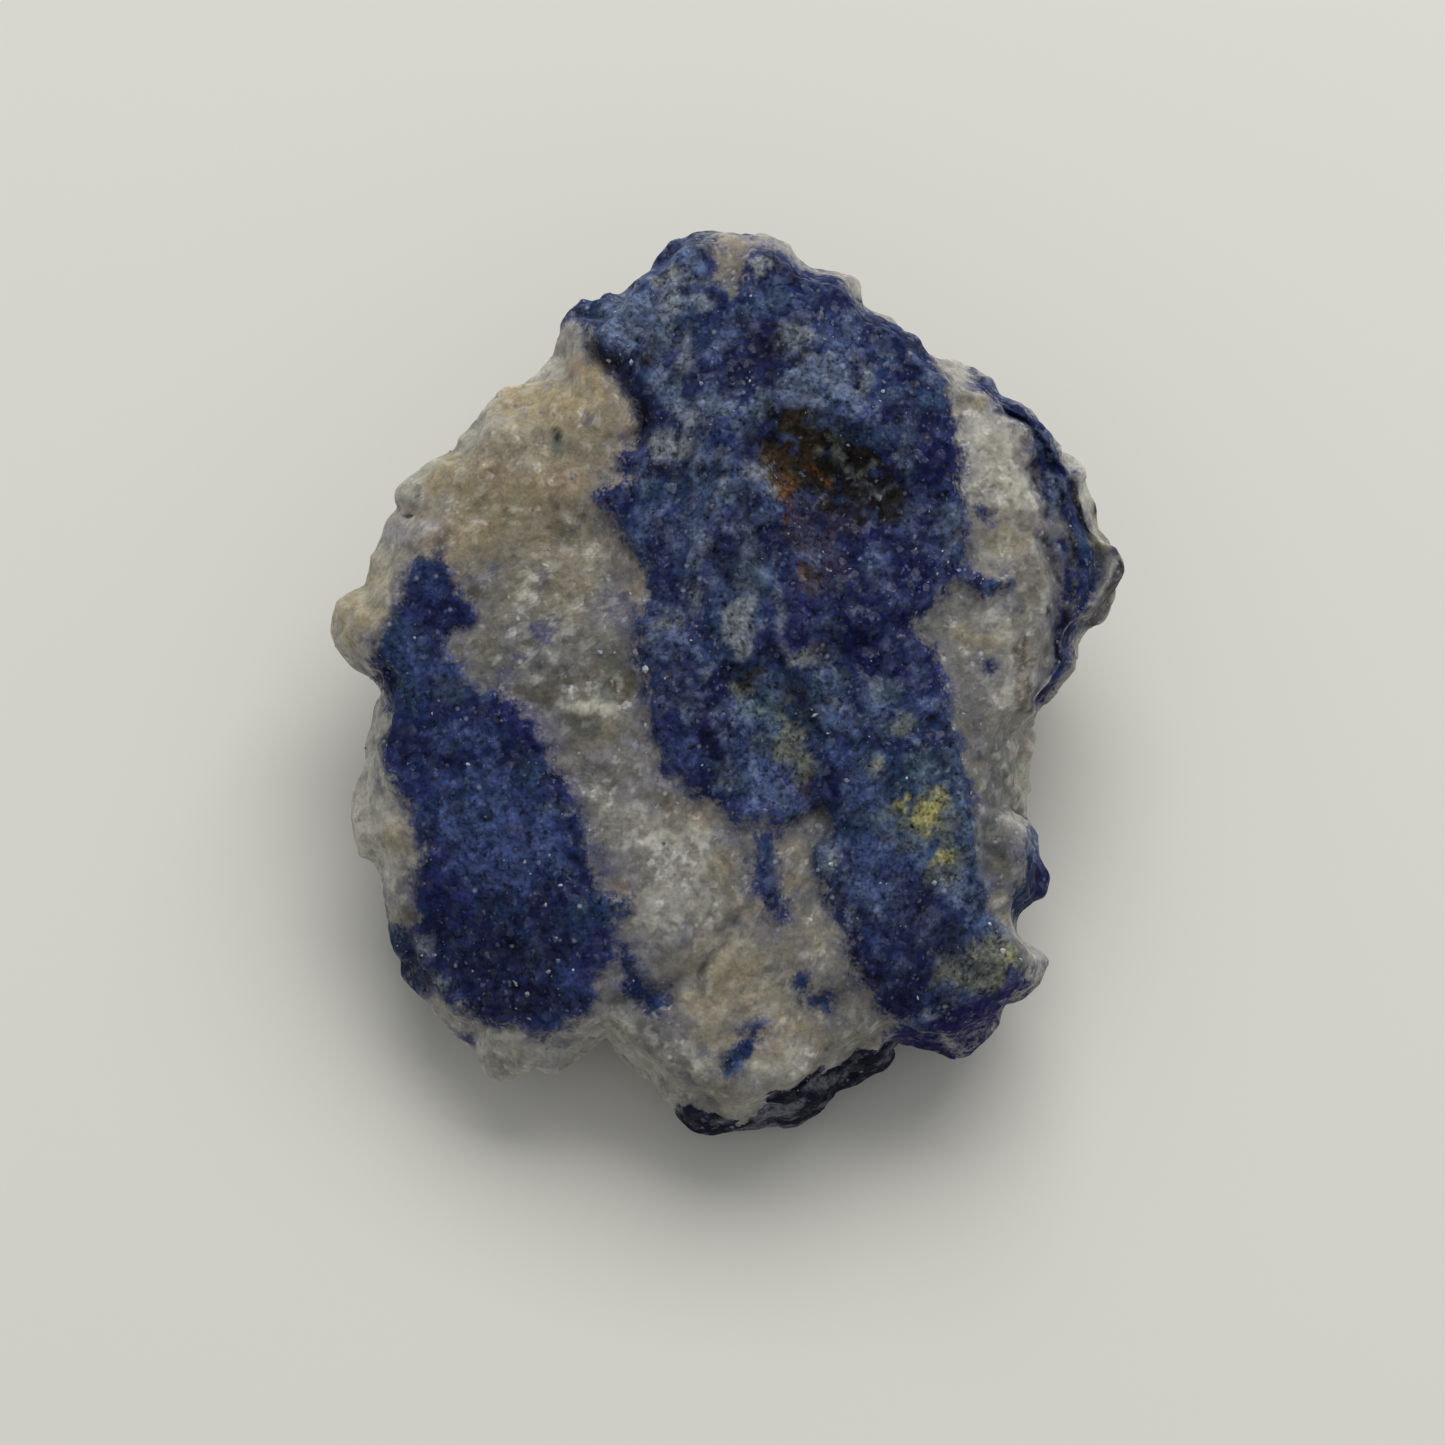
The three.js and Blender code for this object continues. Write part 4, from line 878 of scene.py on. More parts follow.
QUARTZ_PATCHES = {
    "glassy": ((82, 83, 81), [
        (-6.4, 7.3, 1.5, 0.7, 10, 0.7), (-8.6, 2.2, 1.3, 1.0, 0, 0.6), (-11.0, 5.2, 0.8, 0.8, 0, 0.5),
        (-5.0, 5.0, 1.2, 0.8, -20, 0.6), (-6.8, -2.6, 0.8, 0.7, 0, 0.7), (-8.4, -0.5, 1.2, 0.6, 0, 0.6),
        (-5.8, 2.8, 1.4, 1.0, 0, 0.4), (12.0, -1.5, 0.9, 1.0, 0, 0.6), (12.9, -6.0, 0.9, 3.4, -8, 0.85),
        (-10.5, 0.8, 0.9, 0.7, 0, 0.5), (-4.9, -9.4, 0.5, 0.9, 0, 0.4), (12.6, -9.0, 0.5, 0.9, 0, 0.8)]),
    "lilac": ((136, 134, 136), [
        (-5.2, 2.4, 1.0, 0.8, 0, 0.6), (-14.9, 6.9, 1.5, 0.6, 10, 0.7), (-2.8, -11.8, 1.6, 1.6, 0, 0.7),
        (-4.6, -9.0, 0.5, 1.4, 0, 0.4), (13.2, 5.4, 0.5, 0.5, 0, 0.5), (-9.6, -0.2, 0.8, 0.5, 0, 0.4),
        (-12.2, -14.8, 1.0, 0.8, 0, 0.7), (-10.7, 4.6, 0.5, 0.8, -30, 0.5)]),
    "cream": ((166, 164, 151), [
        (12.6, 10.2, 2.0, 2.8, 0, 0.9), (13.9, 11.2, 1.0, 0.9, 0, 0.9), (13.2, 7.0, 1.2, 1.4, 0, 0.6),
        (13.7, 9.6, 0.35, 0.9, 0, 0.9), (12.8, 2.8, 1.0, 1.6, 20, 0.6), (13.6, -0.2, 0.5, 1.6, 0, 0.6),
        (-16.4, -6.4, 1.2, 3.2, 0, 0.7), (-15.4, -8.0, 0.8, 1.6, 0, 0.5), (-17.6, 3.4, 1.4, 2.4, -20, 0.8),
        (-2.4, -10.4, 2.2, 1.6, 0, 0.5), (-9.4, 4.0, 0.6, 0.8, 0, 0.9), (-9.3, 10.1, 0.6, 0.6, 0, 0.9),
        (-9.7, 13.8, 1.2, 0.4, 10, 1.0), (-11.5, 13.1, 0.9, 0.5, 20, 1.0), (14.9, 8.3, 0.4, 0.4, 0, 1.0),
        (-6.3, -1.3, 1.3, 0.45, -10, 0.9), (-3.0, -7.6, 0.9, 0.4, 0, 0.8), (-8.3, 14.6, 1.0, 0.4, 10, 0.8),
        (-16.6, 6.1, 0.6, 0.6, 0, 0.8), (-5.9, -5.1, 0.7, 0.5, 20, 0.8), (-10.0, -17.2, 3.2, 0.6, 0, 0.6),
        (-1.0, -6.9, 1.6, 1.2, -30, 0.4), (0.8, -12.6, 1.6, 1.0, 0, 0.6), (2.4, -17.6, 1.6, 0.8, 0, 0.5),
        (15.3, 3.6, 0.3, 0.8, 0, 0.9), (17.4, 8.6, 0.5, 2.2, 15, 0.6), (11.6, 15.0, 0.8, 0.6, 0, 0.6),
        (-1.4, -17.4, 1.6, 1.0, 30, 0.4), (0.0, 21.9, 1.4, 0.4, 0, 0.6), (13.0, 2.8, 0.4, 0.4, 0, 0.8),
        (0.6, -14.2, 3.0, 2.2, 20, 0.45), (3.4, -14.6, 1.4, 1.2, 0, 0.4), (-10.0, 11.6, 2.6, 1.8, 10, 0.3)]),
    "ochre": ((138, 126, 97), [
        (-8.6, 12.9, 2.6, 1.0, -8, 1.0), (-6.2, 14.4, 0.8, 0.7, 0, 1.0), (-5.4, 13.2, 0.8, 0.8, 0, 0.9),
        (-13.6, 9.6, 1.1, 1.2, 20, 0.8), (-17.6, 3.6, 1.4, 2.0, -20, 0.7), (-12.7, 6.4, 1.0, 0.8, 0, 0.8),
        (-10.4, 8.8, 3.2, 2.6, 20, 0.5), (-7.4, 9.4, 1.4, 2.0, 0, 0.4), (0.4, -8.4, 0.8, 0.6, 0, 0.5),
        (1.2, -15.0, 3.4, 2.4, -15, 0.55), (2.6, -11.6, 1.6, 1.4, 0, 0.35), (-15.4, -7.4, 0.8, 0.8, 0, 0.6),
        (13.2, 6.9, 1.2, 0.9, 0, 0.45), (12.0, 1.9, 1.2, 0.7, 0, 0.4), (4.6, -12.2, 0.9, 0.9, 0, 0.4),
        (-13.0, -13.2, 0.8, 0.7, 0, 1.0),
        (-12.2, 4.5, 0.8, 0.5, 0, 0.6), (3.2, -8.6, 0.8, 1.0, 0, 0.5), (-0.8, -6.5, 0.9, 0.4, -30, 0.5)]),
    "violet": ((66, 68, 98), [
        (-11.2, 5.1, 0.8, 0.5, 20, 0.55), (-8.4, 2.2, 0.8, 0.7, 0, 0.7), (-7.2, 0.4, 0.8, 0.4, 0, 0.5),
        (-9.3, 0.9, 0.8, 0.35, 0, 0.45), (-6.4, 12.1, 0.5, 0.4, 0, 0.35), (-12.0, 12.2, 0.5, 0.3, 30, 0.8),
        (-4.9, 3.2, 0.7, 1.4, 10, 0.5), (-8.6, 4.4, 0.25, 0.7, 0, 0.5), (-4.5, 7.9, 1.0, 0.6, 0, 0.45),
        (-10.4, -0.2, 0.7, 0.6, 0, 0.5), (-5.8, -8.6, 0.5, 0.9, 0, 0.5), (-1.9, -11.4, 0.3, 0.25, 0, 0.5),
        (0.7, -8.0, 0.9, 0.4, -40, 0.4), (12.2, 7.4, 0.35, 0.35, 0, 0.7), (-1.0, -17.6, 0.3, 0.2, 0, 0.5),
        (-2.0, -12.2, 0.2, 0.2, 0, 0.6), (-4.4, 14.0, 0.5, 0.9, 30, 0.5), (13.8, 3.6, 1.0, 0.4, -20, 0.45)]),
    "rosy": ((134, 116, 100), [
        (-7.6, 9.2, 0.7, 1.0, 0, 0.7), (-7.0, 14.7, 0.6, 0.4, 0, 0.6), (-4.8, -9.8, 0.5, 0.5, 0, 0.7),
        (-10.6, 9.9, 1.0, 1.2, 0, 0.4), (-14.6, 7.9, 0.5, 0.4, 0, 0.6), (-1.2, -6.5, 0.6, 0.4, 0, 0.4)]),
    "umber": ((80, 73, 56), [
        (-4.8, -0.4, 0.8, 1.2, 10, 0.85), (-6.9, 0.3, 1.1, 0.5, 0, 0.7), (-9.0, -0.6, 1.2, 0.5, 0, 0.6),
        (14.2, 0.9, 0.6, 1.0, 0, 0.9), (14.1, -0.9, 0.5, 0.7, 0, 0.9), (-13.3, 6.0, 0.4, 0.9, 0, 0.8),
        (-12.5, 4.9, 0.7, 0.4, -40, 0.6), (-5.0, 6.0, 0.6, 0.4, 0, 0.5), (-8.0, 7.2, 0.3, 0.8, 0, 0.6),
        (-2.3, -5.8, 1.2, 0.4, -25, 0.6), (-2.6, -6.6, 0.9, 0.4, 0, 0.5), (-14.8, -11.2, 0.5, 0.9, 0, 0.7),
        (0.4, -8.3, 0.7, 0.4, 0, 0.5), (4.7, -6.8, 0.6, 0.5, -30, 0.9), (-11.6, 4.1, 0.3, 0.5, 0, 0.8)]),
}
# patches that lie over vein and quartz alike
DUSTS = {
    "moss": ((86, 90, 79), [
        (3.8, 11.6, 1.3, 0.6, -10, 0.6), (1.0, -0.5, 0.8, 0.6, 0, 0.7), (3.2, -3.0, 0.8, 1.6, 8, 0.9),
        (12.1, -13.4, 2.0, 1.1, 22, 0.85), (-1.9, 18.8, 0.9, 0.5, 0, 0.4), (9.3, -6.6, 1.8, 1.4, -30, 0.6),
        (4.4, -6.9, 0.7, 0.5, 0, 0.8), (10.4, -8.6, 0.9, 0.9, 0, 0.6), (8.4, -2.2, 0.5, 0.6, 0, 0.6),
        (0.2, 18.4, 0.4, 0.5, 0, 0.7)]),
    "yellow": ((130, 126, 78), [
        (8.6, -5.7, 0.7, 0.5, 0, 0.85), (9.5, -6.5, 0.6, 0.8, 20, 0.85), (10.1, -5.6, 0.5, 0.5, -20, 0.6),
        (10.2, -8.4, 0.5, 0.4, 0, 0.7), (13.1, -12.9, 0.35, 0.5, 20, 0.5), (7.3, -3.8, 0.3, 0.25, 0, 0.4)]),
    "burnt": ((19, 16, 15), [
        (4.7, 10.0, 3.1, 1.5, -35, 1.8), (6.6, 8.7, 2.0, 1.1, -38, 1.5), (2.8, 10.3, 1.1, 0.8, -20, 1.4),
        (4.4, -5.9, 0.3, 0.25, 0, 0.9), (6.3, -13.3, 0.3, 0.6, 20, 0.6), (0.8, -0.1, 0.5, 0.4, 0, 0.8)]),
    "brown": ((50, 40, 26), [
        (3.6, 11.2, 1.1, 1.0, -10, 1.1), (2.7, 9.7, 0.9, 1.3, 0, 1.1), (4.0, 4.9, 0.5, 1.1, 10, 0.6),
        (5.6, 11.1, 1.0, 0.3, -35, 0.5), (2.2, 10.4, 0.5, 0.6, 0, 0.4), (4.3, 1.3, 0.4, 0.7, 0, 0.5),
        (1.5, 0.1, 0.5, 0.4, 0, 0.5), (3.9, -4.8, 0.3, 0.8, 0, 0.5)]),
    "orange": ((80, 52, 23), [
        (2.9, 9.0, 0.4, 0.8, 15, 0.8), (3.6, 5.2, 0.25, 0.8, 15, 0.4), (4.6, 9.3, 0.8, 0.2, -38, 0.6),
        (3.1, 7.6, 0.3, 0.4, 0, 0.6)]),
    "sage": ((104, 108, 98), [
        (4.4, 10.7, 0.3, 0.25, 0, 0.7), (5.3, 10.3, 0.6, 0.35, -35, 0.7), (6.2, 9.7, 0.4, 0.3, -30, 0.6),
        (-5.1, 0.4, 0.4, 0.35, 0, 1.0), (-5.7, -0.7, 0.35, 0.6, 0, 0.9), (4.4, 11.9, 0.3, 0.2, 0, 0.6),
        (6.9, 9.9, 0.3, 0.2, 0, 0.5), (-7.95, 11.0, 0.35, 0.3, 0, 1.0), (5.2, 11.2, 0.3, 0.2, 0, 0.5)]),
}
# pale seams, partly painted highlights along ridges and rims: half width, strength, line
PALE_SEAMS_AND_HIGHLIGHTS = [
    (0.55, 1.0, [(0.0, 10.3), (0.9, 9.8), (2.1, 8.8)]),
    (0.5, 0.55, [(0.2, 9.4), (-0.2, 8.0), (-0.4, 7.0), (-1.0, 6.0), (-1.5, 5.2), (-1.2, 4.2), (-1.5, 3.3)]),
    (0.3, 0.55, [(2.4, 4.5), (2.6, 2.5), (3.0, 1.2), (3.6, 0.6), (4.2, 0.8)]),
    (0.16, 0.6, [(4.2, 0.2), (4.9, -0.6), (5.4, -1.4)]),
    (0.18, 0.7, [(-0.1, 2.9), (0.3, 1.4), (0.9, 0.9), (1.3, 1.6)]),
    (0.16, 0.7, [(-3.4, -2.2), (-3.2, -3.2), (-3.5, -3.8)]),
    (0.14, 0.6, [(1.0, -2.8), (1.8, -2.7)]),
    (0.12, 0.8, [(0.0, -3.0), (0.0, -4.0)]),
    (0.25, 0.8, [(13.4, -11.6), (14.4, -12.4), (15.4, -13.2), (14.7, -14.4), (13.2, -16.0),
                 (12.0, -17.3), (10.8, -17.9), (9.4, -17.5), (8.0, -16.8)]),
    (0.22, 0.8, [(11.0, 15.2), (12.2, 14.6), (13.4, 14.1), (14.4, 13.6), (15.3, 12.9)]),
    (0.15, 0.6, [(6.3, 9.2), (7.3, 8.5), (8.1, 8.8)]),
    (0.15, 0.5, [(-7.2, -6.0), (-7.5, -6.6)]),
]
# dark cracks, and painted shadows along the cliffs of the right terraces and under the ledges of the blue:
# half width, strength, line
DARK_CRACKS_AND_SHADOWS = [
    (0.5, 1.0, [(-6.3, 15.6), (-5.6, 15.1), (-4.8, 14.8), (-3.9, 14.9)]),
    (0.3, 0.9, [(-4.4, 14.2), (-4.1, 13.5), (-3.6, 12.6), (-3.4, 11.8)]),
    (0.3, 1.0, [(2.2, 15.9), (2.9, 15.4), (2.6, 14.6), (2.2, 14.0)]),
    (0.2, 0.9, [(-3.6, 9.7), (-2.6, 9.6), (-1.6, 9.7), (-0.9, 9.3)]),
    (0.22, 1.0, [(-0.6, 7.7), (-0.4, 7.9)]),
    (0.25, 1.0, [(-1.7, 3.8), (-1.5, 4.2)]),
    (0.16, 0.8, [(3.2, -6.8), (3.9, -6.4), (4.3, -5.9), (4.9, -5.8)]),
    (0.2, 1.0, [(12.9, 12.5), (13.5, 12.2), (14.3, 12.3), (14.9, 11.6), (15.1, 10.8), (14.9, 10.1)]),
    (0.3, 1.0, [(15.0, 9.9), (14.4, 9.8)]),
    (0.2, 0.8, [(14.6, 9.5), (14.9, 8.8), (15.3, 8.1), (15.1, 7.2), (15.5, 6.4), (15.9, 5.2), (16.1, 4.4)]),
    (0.22, 0.9, [(15.4, 3.2), (15.3, 2.7), (15.7, 2.3)]),
    (0.16, 1.0, [(16.5, 6.4), (16.5, 5.2)]),
    (0.2, 1.0, [(16.2, 4.0), (16.4, 3.2), (16.4, 2.2)]),
    (0.4, 1.0, [(17.8, 8.4), (18.1, 7.4), (18.6, 6.4), (19.0, 5.4), (18.8, 4.2), (18.2, 3.2), (17.6, 2.6)]),
    (0.3, 0.8, [(14.8, -9.2), (15.4, -10.1)]),
    (0.25, 1.0, [(1.1, 8.7), (1.3, 8.4)]),
    (0.2, 1.0, [(-15.1, 7.8), (-14.95, 7.75)]),
    (0.14, 0.9, [(-14.85, 8.8), (-14.8, 8.65)]),
    (0.25, 0.7, [(-7.85, 11.8), (-8.0, 11.4)]),
    (0.14, 0.4, [(0.2, -11.8), (-0.3, -13.0), (-1.6, -14.2), (-3.0, -15.0)]),
    (0.2, 0.8, [(7.4, -4.4), (8.1, -4.8), (8.7, -5.3)]),
    (0.15, 0.7, [(5.2, -9.6), (5.9, -10.5), (6.3, -11.0)]),
    (0.2, 0.6, [(-4.4, 8.9), (-4.2, 9.3)]),
]
# the broken side below the lowest edge of the face, painted black as shade
UNDERSIDE = [
    (-2.4, -19.8), (-0.8, -20.3), (0.8, -20.9), (1.4, -20.3), (2.0, -19.4), (3.4, -18.9),
    (5.0, -18.1), (6.3, -17.4), (7.4, -17.0), (8.6, -17.6), (8.6, -20.0), (4.0, -24.0), (-2.4, -23.0),
]
STAIN_WARP = 0.26  # how far the edges of stains wander
FACE_DEPTHS = (-10.0, -6.5)  # n between which the stains set in, from the walls up
CRYSTAL_SIZES = (0.42, 0.95)
RAGGED_CLOUD, RAGGED_CRYSTALS = 0.8, 0.9  # how much each breaks up the edge of a patch
PATCH_EDGE = (0.15, 0.6)  # values of the bell from the outer edge of a patch to its full strength
LINE_CLOUD = 0.9  # how much the cloud breaks up a line
LINE_EDGE = (0.15, 0.9)
stain_at = skin + STAIN_WARP * wandering(skin, size=1.0, octaves=3, streams=(61, 71, 81))
near_face = smoothstep(*FACE_DEPTHS, skin[:, 2])
patchy = cloud(skin, size=0.8, octaves=3, stream=91)
fine_pick, coarse_pick = [crystal_pick(stain_at, size, k) for size, k in zip(CRYSTAL_SIZES, (12, 13))]


def covered(patches):
    """How strongly a set of patches shows: the strongest of its ellipses, each reaching half of
    its strength at its stated size, with an edge that a cloud and single crystals break up."""
    strongest = np.zeros(len(skin))
    ragged = 1 + RAGGED_CLOUD * patchy + RAGGED_CRYSTALS * (fine_pick - 0.5)
    for *place, strength in patches:
        share = smoothstep(*PATCH_EDGE, bell(stain_at, *place) * ragged)
        strongest = np.maximum(strongest, strength * share)
    return strongest * (0.7 + 0.5 * fine_pick) * near_face


def line_mark(lines):
    """The strongest of a set of lines, each falling from its strength as exp(-d^2) across it,
    broken along its length by a cloud."""
    strongest = np.zeros(len(skin))
    for half_width, strength, line in lines:
        away = edge_distance(stain_at[:, :2], line, closed=False) / half_width
        strongest = np.maximum(strongest, strength * np.exp(-(away**2)) * (1 + LINE_CLOUD * patchy))
    broken_up = 0.6 + 0.4 * smoothstep(0.2, 0.7, fine_pick)
    return smoothstep(*LINE_EDGE, strongest) * broken_up * near_face


for kind, sets in (("vein", VEIN_PATCHES), ("quartz", QUARTZ_PATCHES), ("both", DUSTS)):
    print("patches of", kind + ":", {name: len(patches) for name, (_, patches) in sets.items()})

# %% [markdown]
# ## Tones
# The tones are screen colours, one for each kind of stone or stain or painted light and shade, made linear,
# as light is. A brighter or darker stone only needs TONE_GAIN changed, since one light falls on them all.
# Each material starts from a range between two tones, which clouds of several sizes, the ridges and
# single crystals vary, and takes its patches in order. The dusts, seams and cracks that run over
# both come last, with the painted light and shade that goes with them.

# %% Tones
TONE_GAIN = 1.1
# the vein, as screen colours from 0 to 255
NAVY_GROUND, BLUE_GROUND = (15, 25, 62), (36, 50, 86)
SLATE_RIDGE, INK_FURROW = (72, 86, 108), (13, 19, 52)
PALE_GRAIN, DARK_GRAIN = (92, 99, 108), (12, 15, 36)
PALE_CRYSTAL, DARK_CRYSTAL = (70, 80, 96), (17, 20, 48)
VIOLET_CLOUD, TEAL_CLOUD = (30, 27, 80), (34, 60, 76)
# the crest tone is pale from wear and is also painted light on the crests
WORN_AND_LIT_CREST, BEVEL_BLUE_AND_SHADE = (84, 95, 114), (19, 19, 66)
# painted shade: the underside near-black, crossed by its paler ribs
UNDERSIDE_PAINTED_SHADE, UNDERSIDE_RIB = (13, 15, 28), (92, 94, 102)
# painted light and shade in the vein: the seam tone is also a painted highlight on ridges and rims, and the
# crack tone is also a painted shadow under cliffs and ledges and painted shade in pits
VEIN_SEAM_AND_HIGHLIGHT, VEIN_CRACK_AND_SHADE = (100, 106, 112), (11, 11, 22)
# the quartz
GREY_GROUND, PALE_GROUND, WARM_GROUND = (98, 97, 93), (126, 124, 115), (134, 123, 100)
LILAC_CLOUD, OLIVE_CLOUD = (116, 113, 126), (114, 107, 80)
# pale broken quartz on the walls next to the face, partly a painted glow of light shining through the thin
# edge
PALE_FRINGE_AND_GLOW = (164, 162, 150)
FROSTED_GRAIN, GLASSY_GRAIN = (168, 167, 158), (78, 78, 76)
# the same in the quartz: the seam tone is also a painted highlight, and the crack tone is also painted
# shadow and painted shade in pits
QUARTZ_SEAM_AND_HIGHLIGHT, QUARTZ_CRACK_AND_SHADE = (166, 164, 156), (32, 32, 36)
CREST_HEIGHT = 0.12  # mm of fine relief that count as a full crest
BEVEL_EDGE = (18.45, 18.7)  # distances along BEVEL_SIDE between which the bevel's tone sets in
RIB_TURN, RIB_LENGTHS = 30, (1.7, 0.5, 1.2)


def tone(red, green, blue_part):
    """A screen colour from 0 to 255 as linear light, with TONE_GAIN applied."""
    c = np.array([red, green, blue_part]) / 255
    return TONE_GAIN * np.where(c > 0.04045, ((c + 0.055) / 1.055) ** 2.4, c / 12.92)


def blend(base, over, amount):
    """base where amount is 0, over where it is 1, for one colour or one per point."""
    amount = np.clip(amount, 0, 1)[:, None]
    return base * (1 - amount) + over * amount


def layered(base, *layers):
    """base with each layer laid over it in turn: a screen colour, and how much of it shows."""
    for colour, amount in layers:
        base = blend(base, tone(*colour), amount)
    return base


def patched(base, sets):
    """base with each named set of patches laid over it in turn."""
    return layered(base, *[(colour, covered(patches)) for colour, patches in sets.values()])


soft = cloud(skin, size=3.4, octaves=3, stream=101)
close = cloud(skin, size=0.55, octaves=3, stream=111)
mottled = cloud(skin, size=1.5, octaves=3, stream=131)
cool_cloud = cloud(skin, size=1.7, octaves=3, stream=151)
warm_cloud = cloud(skin, size=2.2, octaves=3, stream=191)
# painted light and shade: crest makes the tones lighter on the crests of the fine relief and darker in its
# hollows
crest = np.clip(fine / CREST_HEIGHT, -1, 1)

# the vein: navy to mid blue, streaked with slate and near-black in the main vein
lightened = 0.5 * streaks + 0.35 * mottled + 0.15 * soft
speckled = smoothstep(-0.3, 0.9, mottled + 0.6 * streaks) * (0.35 + 0.65 * in_main)
vein_tone = layered(
    blend(tone(*NAVY_GROUND), tone(*BLUE_GROUND), 0.42 + 0.4 * soft + 0.3 * close),
    (SLATE_RIDGE, in_main * 0.65 * lightened),
    (INK_FURROW, (0.3 + 0.7 * in_main) * (-0.05 - 0.9 * lightened)),
    (PALE_GRAIN, 0.8 * speckled * (fine_pick > 0.88)),
    (DARK_GRAIN, 0.8 * speckled * (fine_pick < 0.16)),
    (PALE_CRYSTAL, 0.35 * in_main * (coarse_pick > 0.75)),
    (DARK_CRYSTAL, 0.4 * (coarse_pick < 0.2)),
    (VIOLET_CLOUD, 0.35 * smoothstep(0.1, 0.8, cool_cloud)),
    (TEAL_CLOUD, 0.35 * smoothstep(0.1, 0.8, warm_cloud)),
)
vein_tone = patched(vein_tone, VEIN_PATCHES)

# the quartz: grey to warm, each crystal a little lighter, darker or more frosted than the next
warmth = smoothstep(2, 13, skin[:, 1] - 0.25 * skin[:, 0] + 3 * soft)
# painted glow: the walls just below the face are painted paler, as if lit through the thin quartz, over
# their pale broken colour
fringe = near_face * (1 - face_share)
quartz_tone = layered(
    blend(tone(*GREY_GROUND), tone(*PALE_GROUND), 0.5 + 0.4 * soft + 0.2 * close),
    (WARM_GROUND, 0.75 * warmth * face_share),
)
quartz_tone = quartz_tone * (1 + 0.12 * (coarse_pick - 0.5) + 0.1 * mottled)[:, None]
quartz_tone = layered(
    quartz_tone,
    (LILAC_CLOUD, 0.4 * smoothstep(0, 0.8, cool_cloud)),
    (OLIVE_CLOUD, 0.4 * smoothstep(0, 0.8, warm_cloud)),
    (PALE_FRINGE_AND_GLOW, fringe * (0.55 + 0.3 * mottled)),
)
quartz_tone = layered(
    patched(quartz_tone, QUARTZ_PATCHES),
    (FROSTED_GRAIN, 0.45 * (fine_pick > 0.93)),
    (GLASSY_GRAIN, 0.25 * (fine_pick < 0.1)),
)
print("tones:", len(VEIN_PATCHES), "of the vein,", len(QUARTZ_PATCHES), "of the quartz")

# %% [markdown]
# The crests of the fine relief are worn pale. The tones are painted lighter on crests and darker in hollows,
# as light and shade. Over them go the dusts and, on both stones, the pale seams, which also paint highlights
# along ridges and rims, and the dark cracks, which also paint shadows under cliffs and ledges and shade in
# pits. The deep blue bevel, painted darker as shade, and the ribbed underside, painted black as shade, are
# the vein's alone.

# %% Seams, cracks, and painted light and shade
# painted shade: the bevel of the lower right block faces away from the lamp and is painted a darker deep
# blue
bevel = smoothstep(*BEVEL_EDGE, along_across(skin[:, 0], skin[:, 1], BEVEL_SIDE)[0])
# painted shade: the broken underside below the lowest edge of the face is painted near-black
inner_edge = edge_distance(stain_at[:, :2], UNDERSIDE) + 0.25 * patchy
shaded = smoothstep(-0.1, 0.25, inner_edge) * smoothstep(-13, -8, skin[:, 2])
ribs = smoothstep(0.0, 0.35, streaked(skin, RIB_TURN, RIB_LENGTHS, 141)) * 0.75
# pale seams, with painted highlights along ridges and rims; dark cracks, with painted shadows under cliffs
# and ledges
seams_and_highlights, crack_and_shadow_lines = line_mark(PALE_SEAMS_AND_HIGHLIGHTS), line_mark(DARK_CRACKS_AND_SHADOWS)
# painted light and shade: the main vein paler on its crests, and the whole vein lighter on crests and darker
# in hollows
vein_tone = layered(vein_tone, (WORN_AND_LIT_CREST, 0.3 * in_main * crest))
vein_tone = layered(
    patched(vein_tone * (1 + 0.4 * crest)[:, None], DUSTS),
    (VEIN_SEAM_AND_HIGHLIGHT, 0.75 * seams_and_highlights),
    # painted shade on the bevel, over the vein's deep blue
    (BEVEL_BLUE_AND_SHADE, 0.95 * bevel * near_face),
    # painted shade on the underside
    (UNDERSIDE_PAINTED_SHADE, 0.95 * shaded),
    (UNDERSIDE_RIB, ribs * shaded),
    # painted shade: dark in the cracks, under cliffs and ledges, and in the pits
    (VEIN_CRACK_AND_SHADE, 0.95 * np.maximum(crack_and_shadow_lines, 0.7 * pits)),
)
quartz_tone = layered(
    patched(quartz_tone, DUSTS),
    (QUARTZ_SEAM_AND_HIGHLIGHT, 0.6 * seams_and_highlights),
    # painted shade: dark in the cracks, under cliffs and ledges, and at a third of the strength in the pits
    (QUARTZ_CRACK_AND_SHADE, np.maximum(crack_and_shadow_lines, 0.35 * pits)),
)
# painted light and shade: the quartz a little lighter on crests and darker in hollows
quartz_tone = quartz_tone * (1 + 0.12 * crest)[:, None]
print("lines:", len(PALE_SEAMS_AND_HIGHLIGHTS), "pale seams,", len(DARK_CRACKS_AND_SHADOWS), "dark cracks")

# %% [markdown]
# The finish reads three things from every point of the skin: how far it is inside the blue, and
# its two tones. The shaded underside counts as blue, up to a millimetre inside it.

# %% Tones on the skin


def store(piece, name, values):
    """Keeps one number per point on the piece, for its material to read."""
    attribute = piece.data.attributes.new(name, "FLOAT", "POINT")
    attribute.data.foreach_set("value", np.ascontiguousarray(values, np.float32))


def store_colour(piece, name, colours):
    """Keeps one linear colour per point on the piece, for its material to read."""
    attribute = piece.data.color_attributes.new(name, "FLOAT_COLOR", "POINT")
    full = np.column_stack([colours, np.ones(len(colours))])
    attribute.data.foreach_set("color", np.ascontiguousarray(full, np.float32).ravel())


store(stone, "blue_mm", np.maximum(blue, 3 * shaded - 2))
store_colour(stone, "vein_tone", vein_tone)
store_colour(stone, "quartz_tone", quartz_tone)
print("inside the blue, mm:", blue.min().round(2), "to", blue.max().round(2))

# %% [markdown]
# ## Loose crystals
# White quartz grains stand in the blue like salt, singly and in clusters, and a few lie on the
# quartz. They are real little solids here, because a lump that only a bump map makes gives no
# edge against the light. Each is one twenty-sided chip, stretched and turned at random and more
# than half sunk in the skin, and all are joined in one piece.

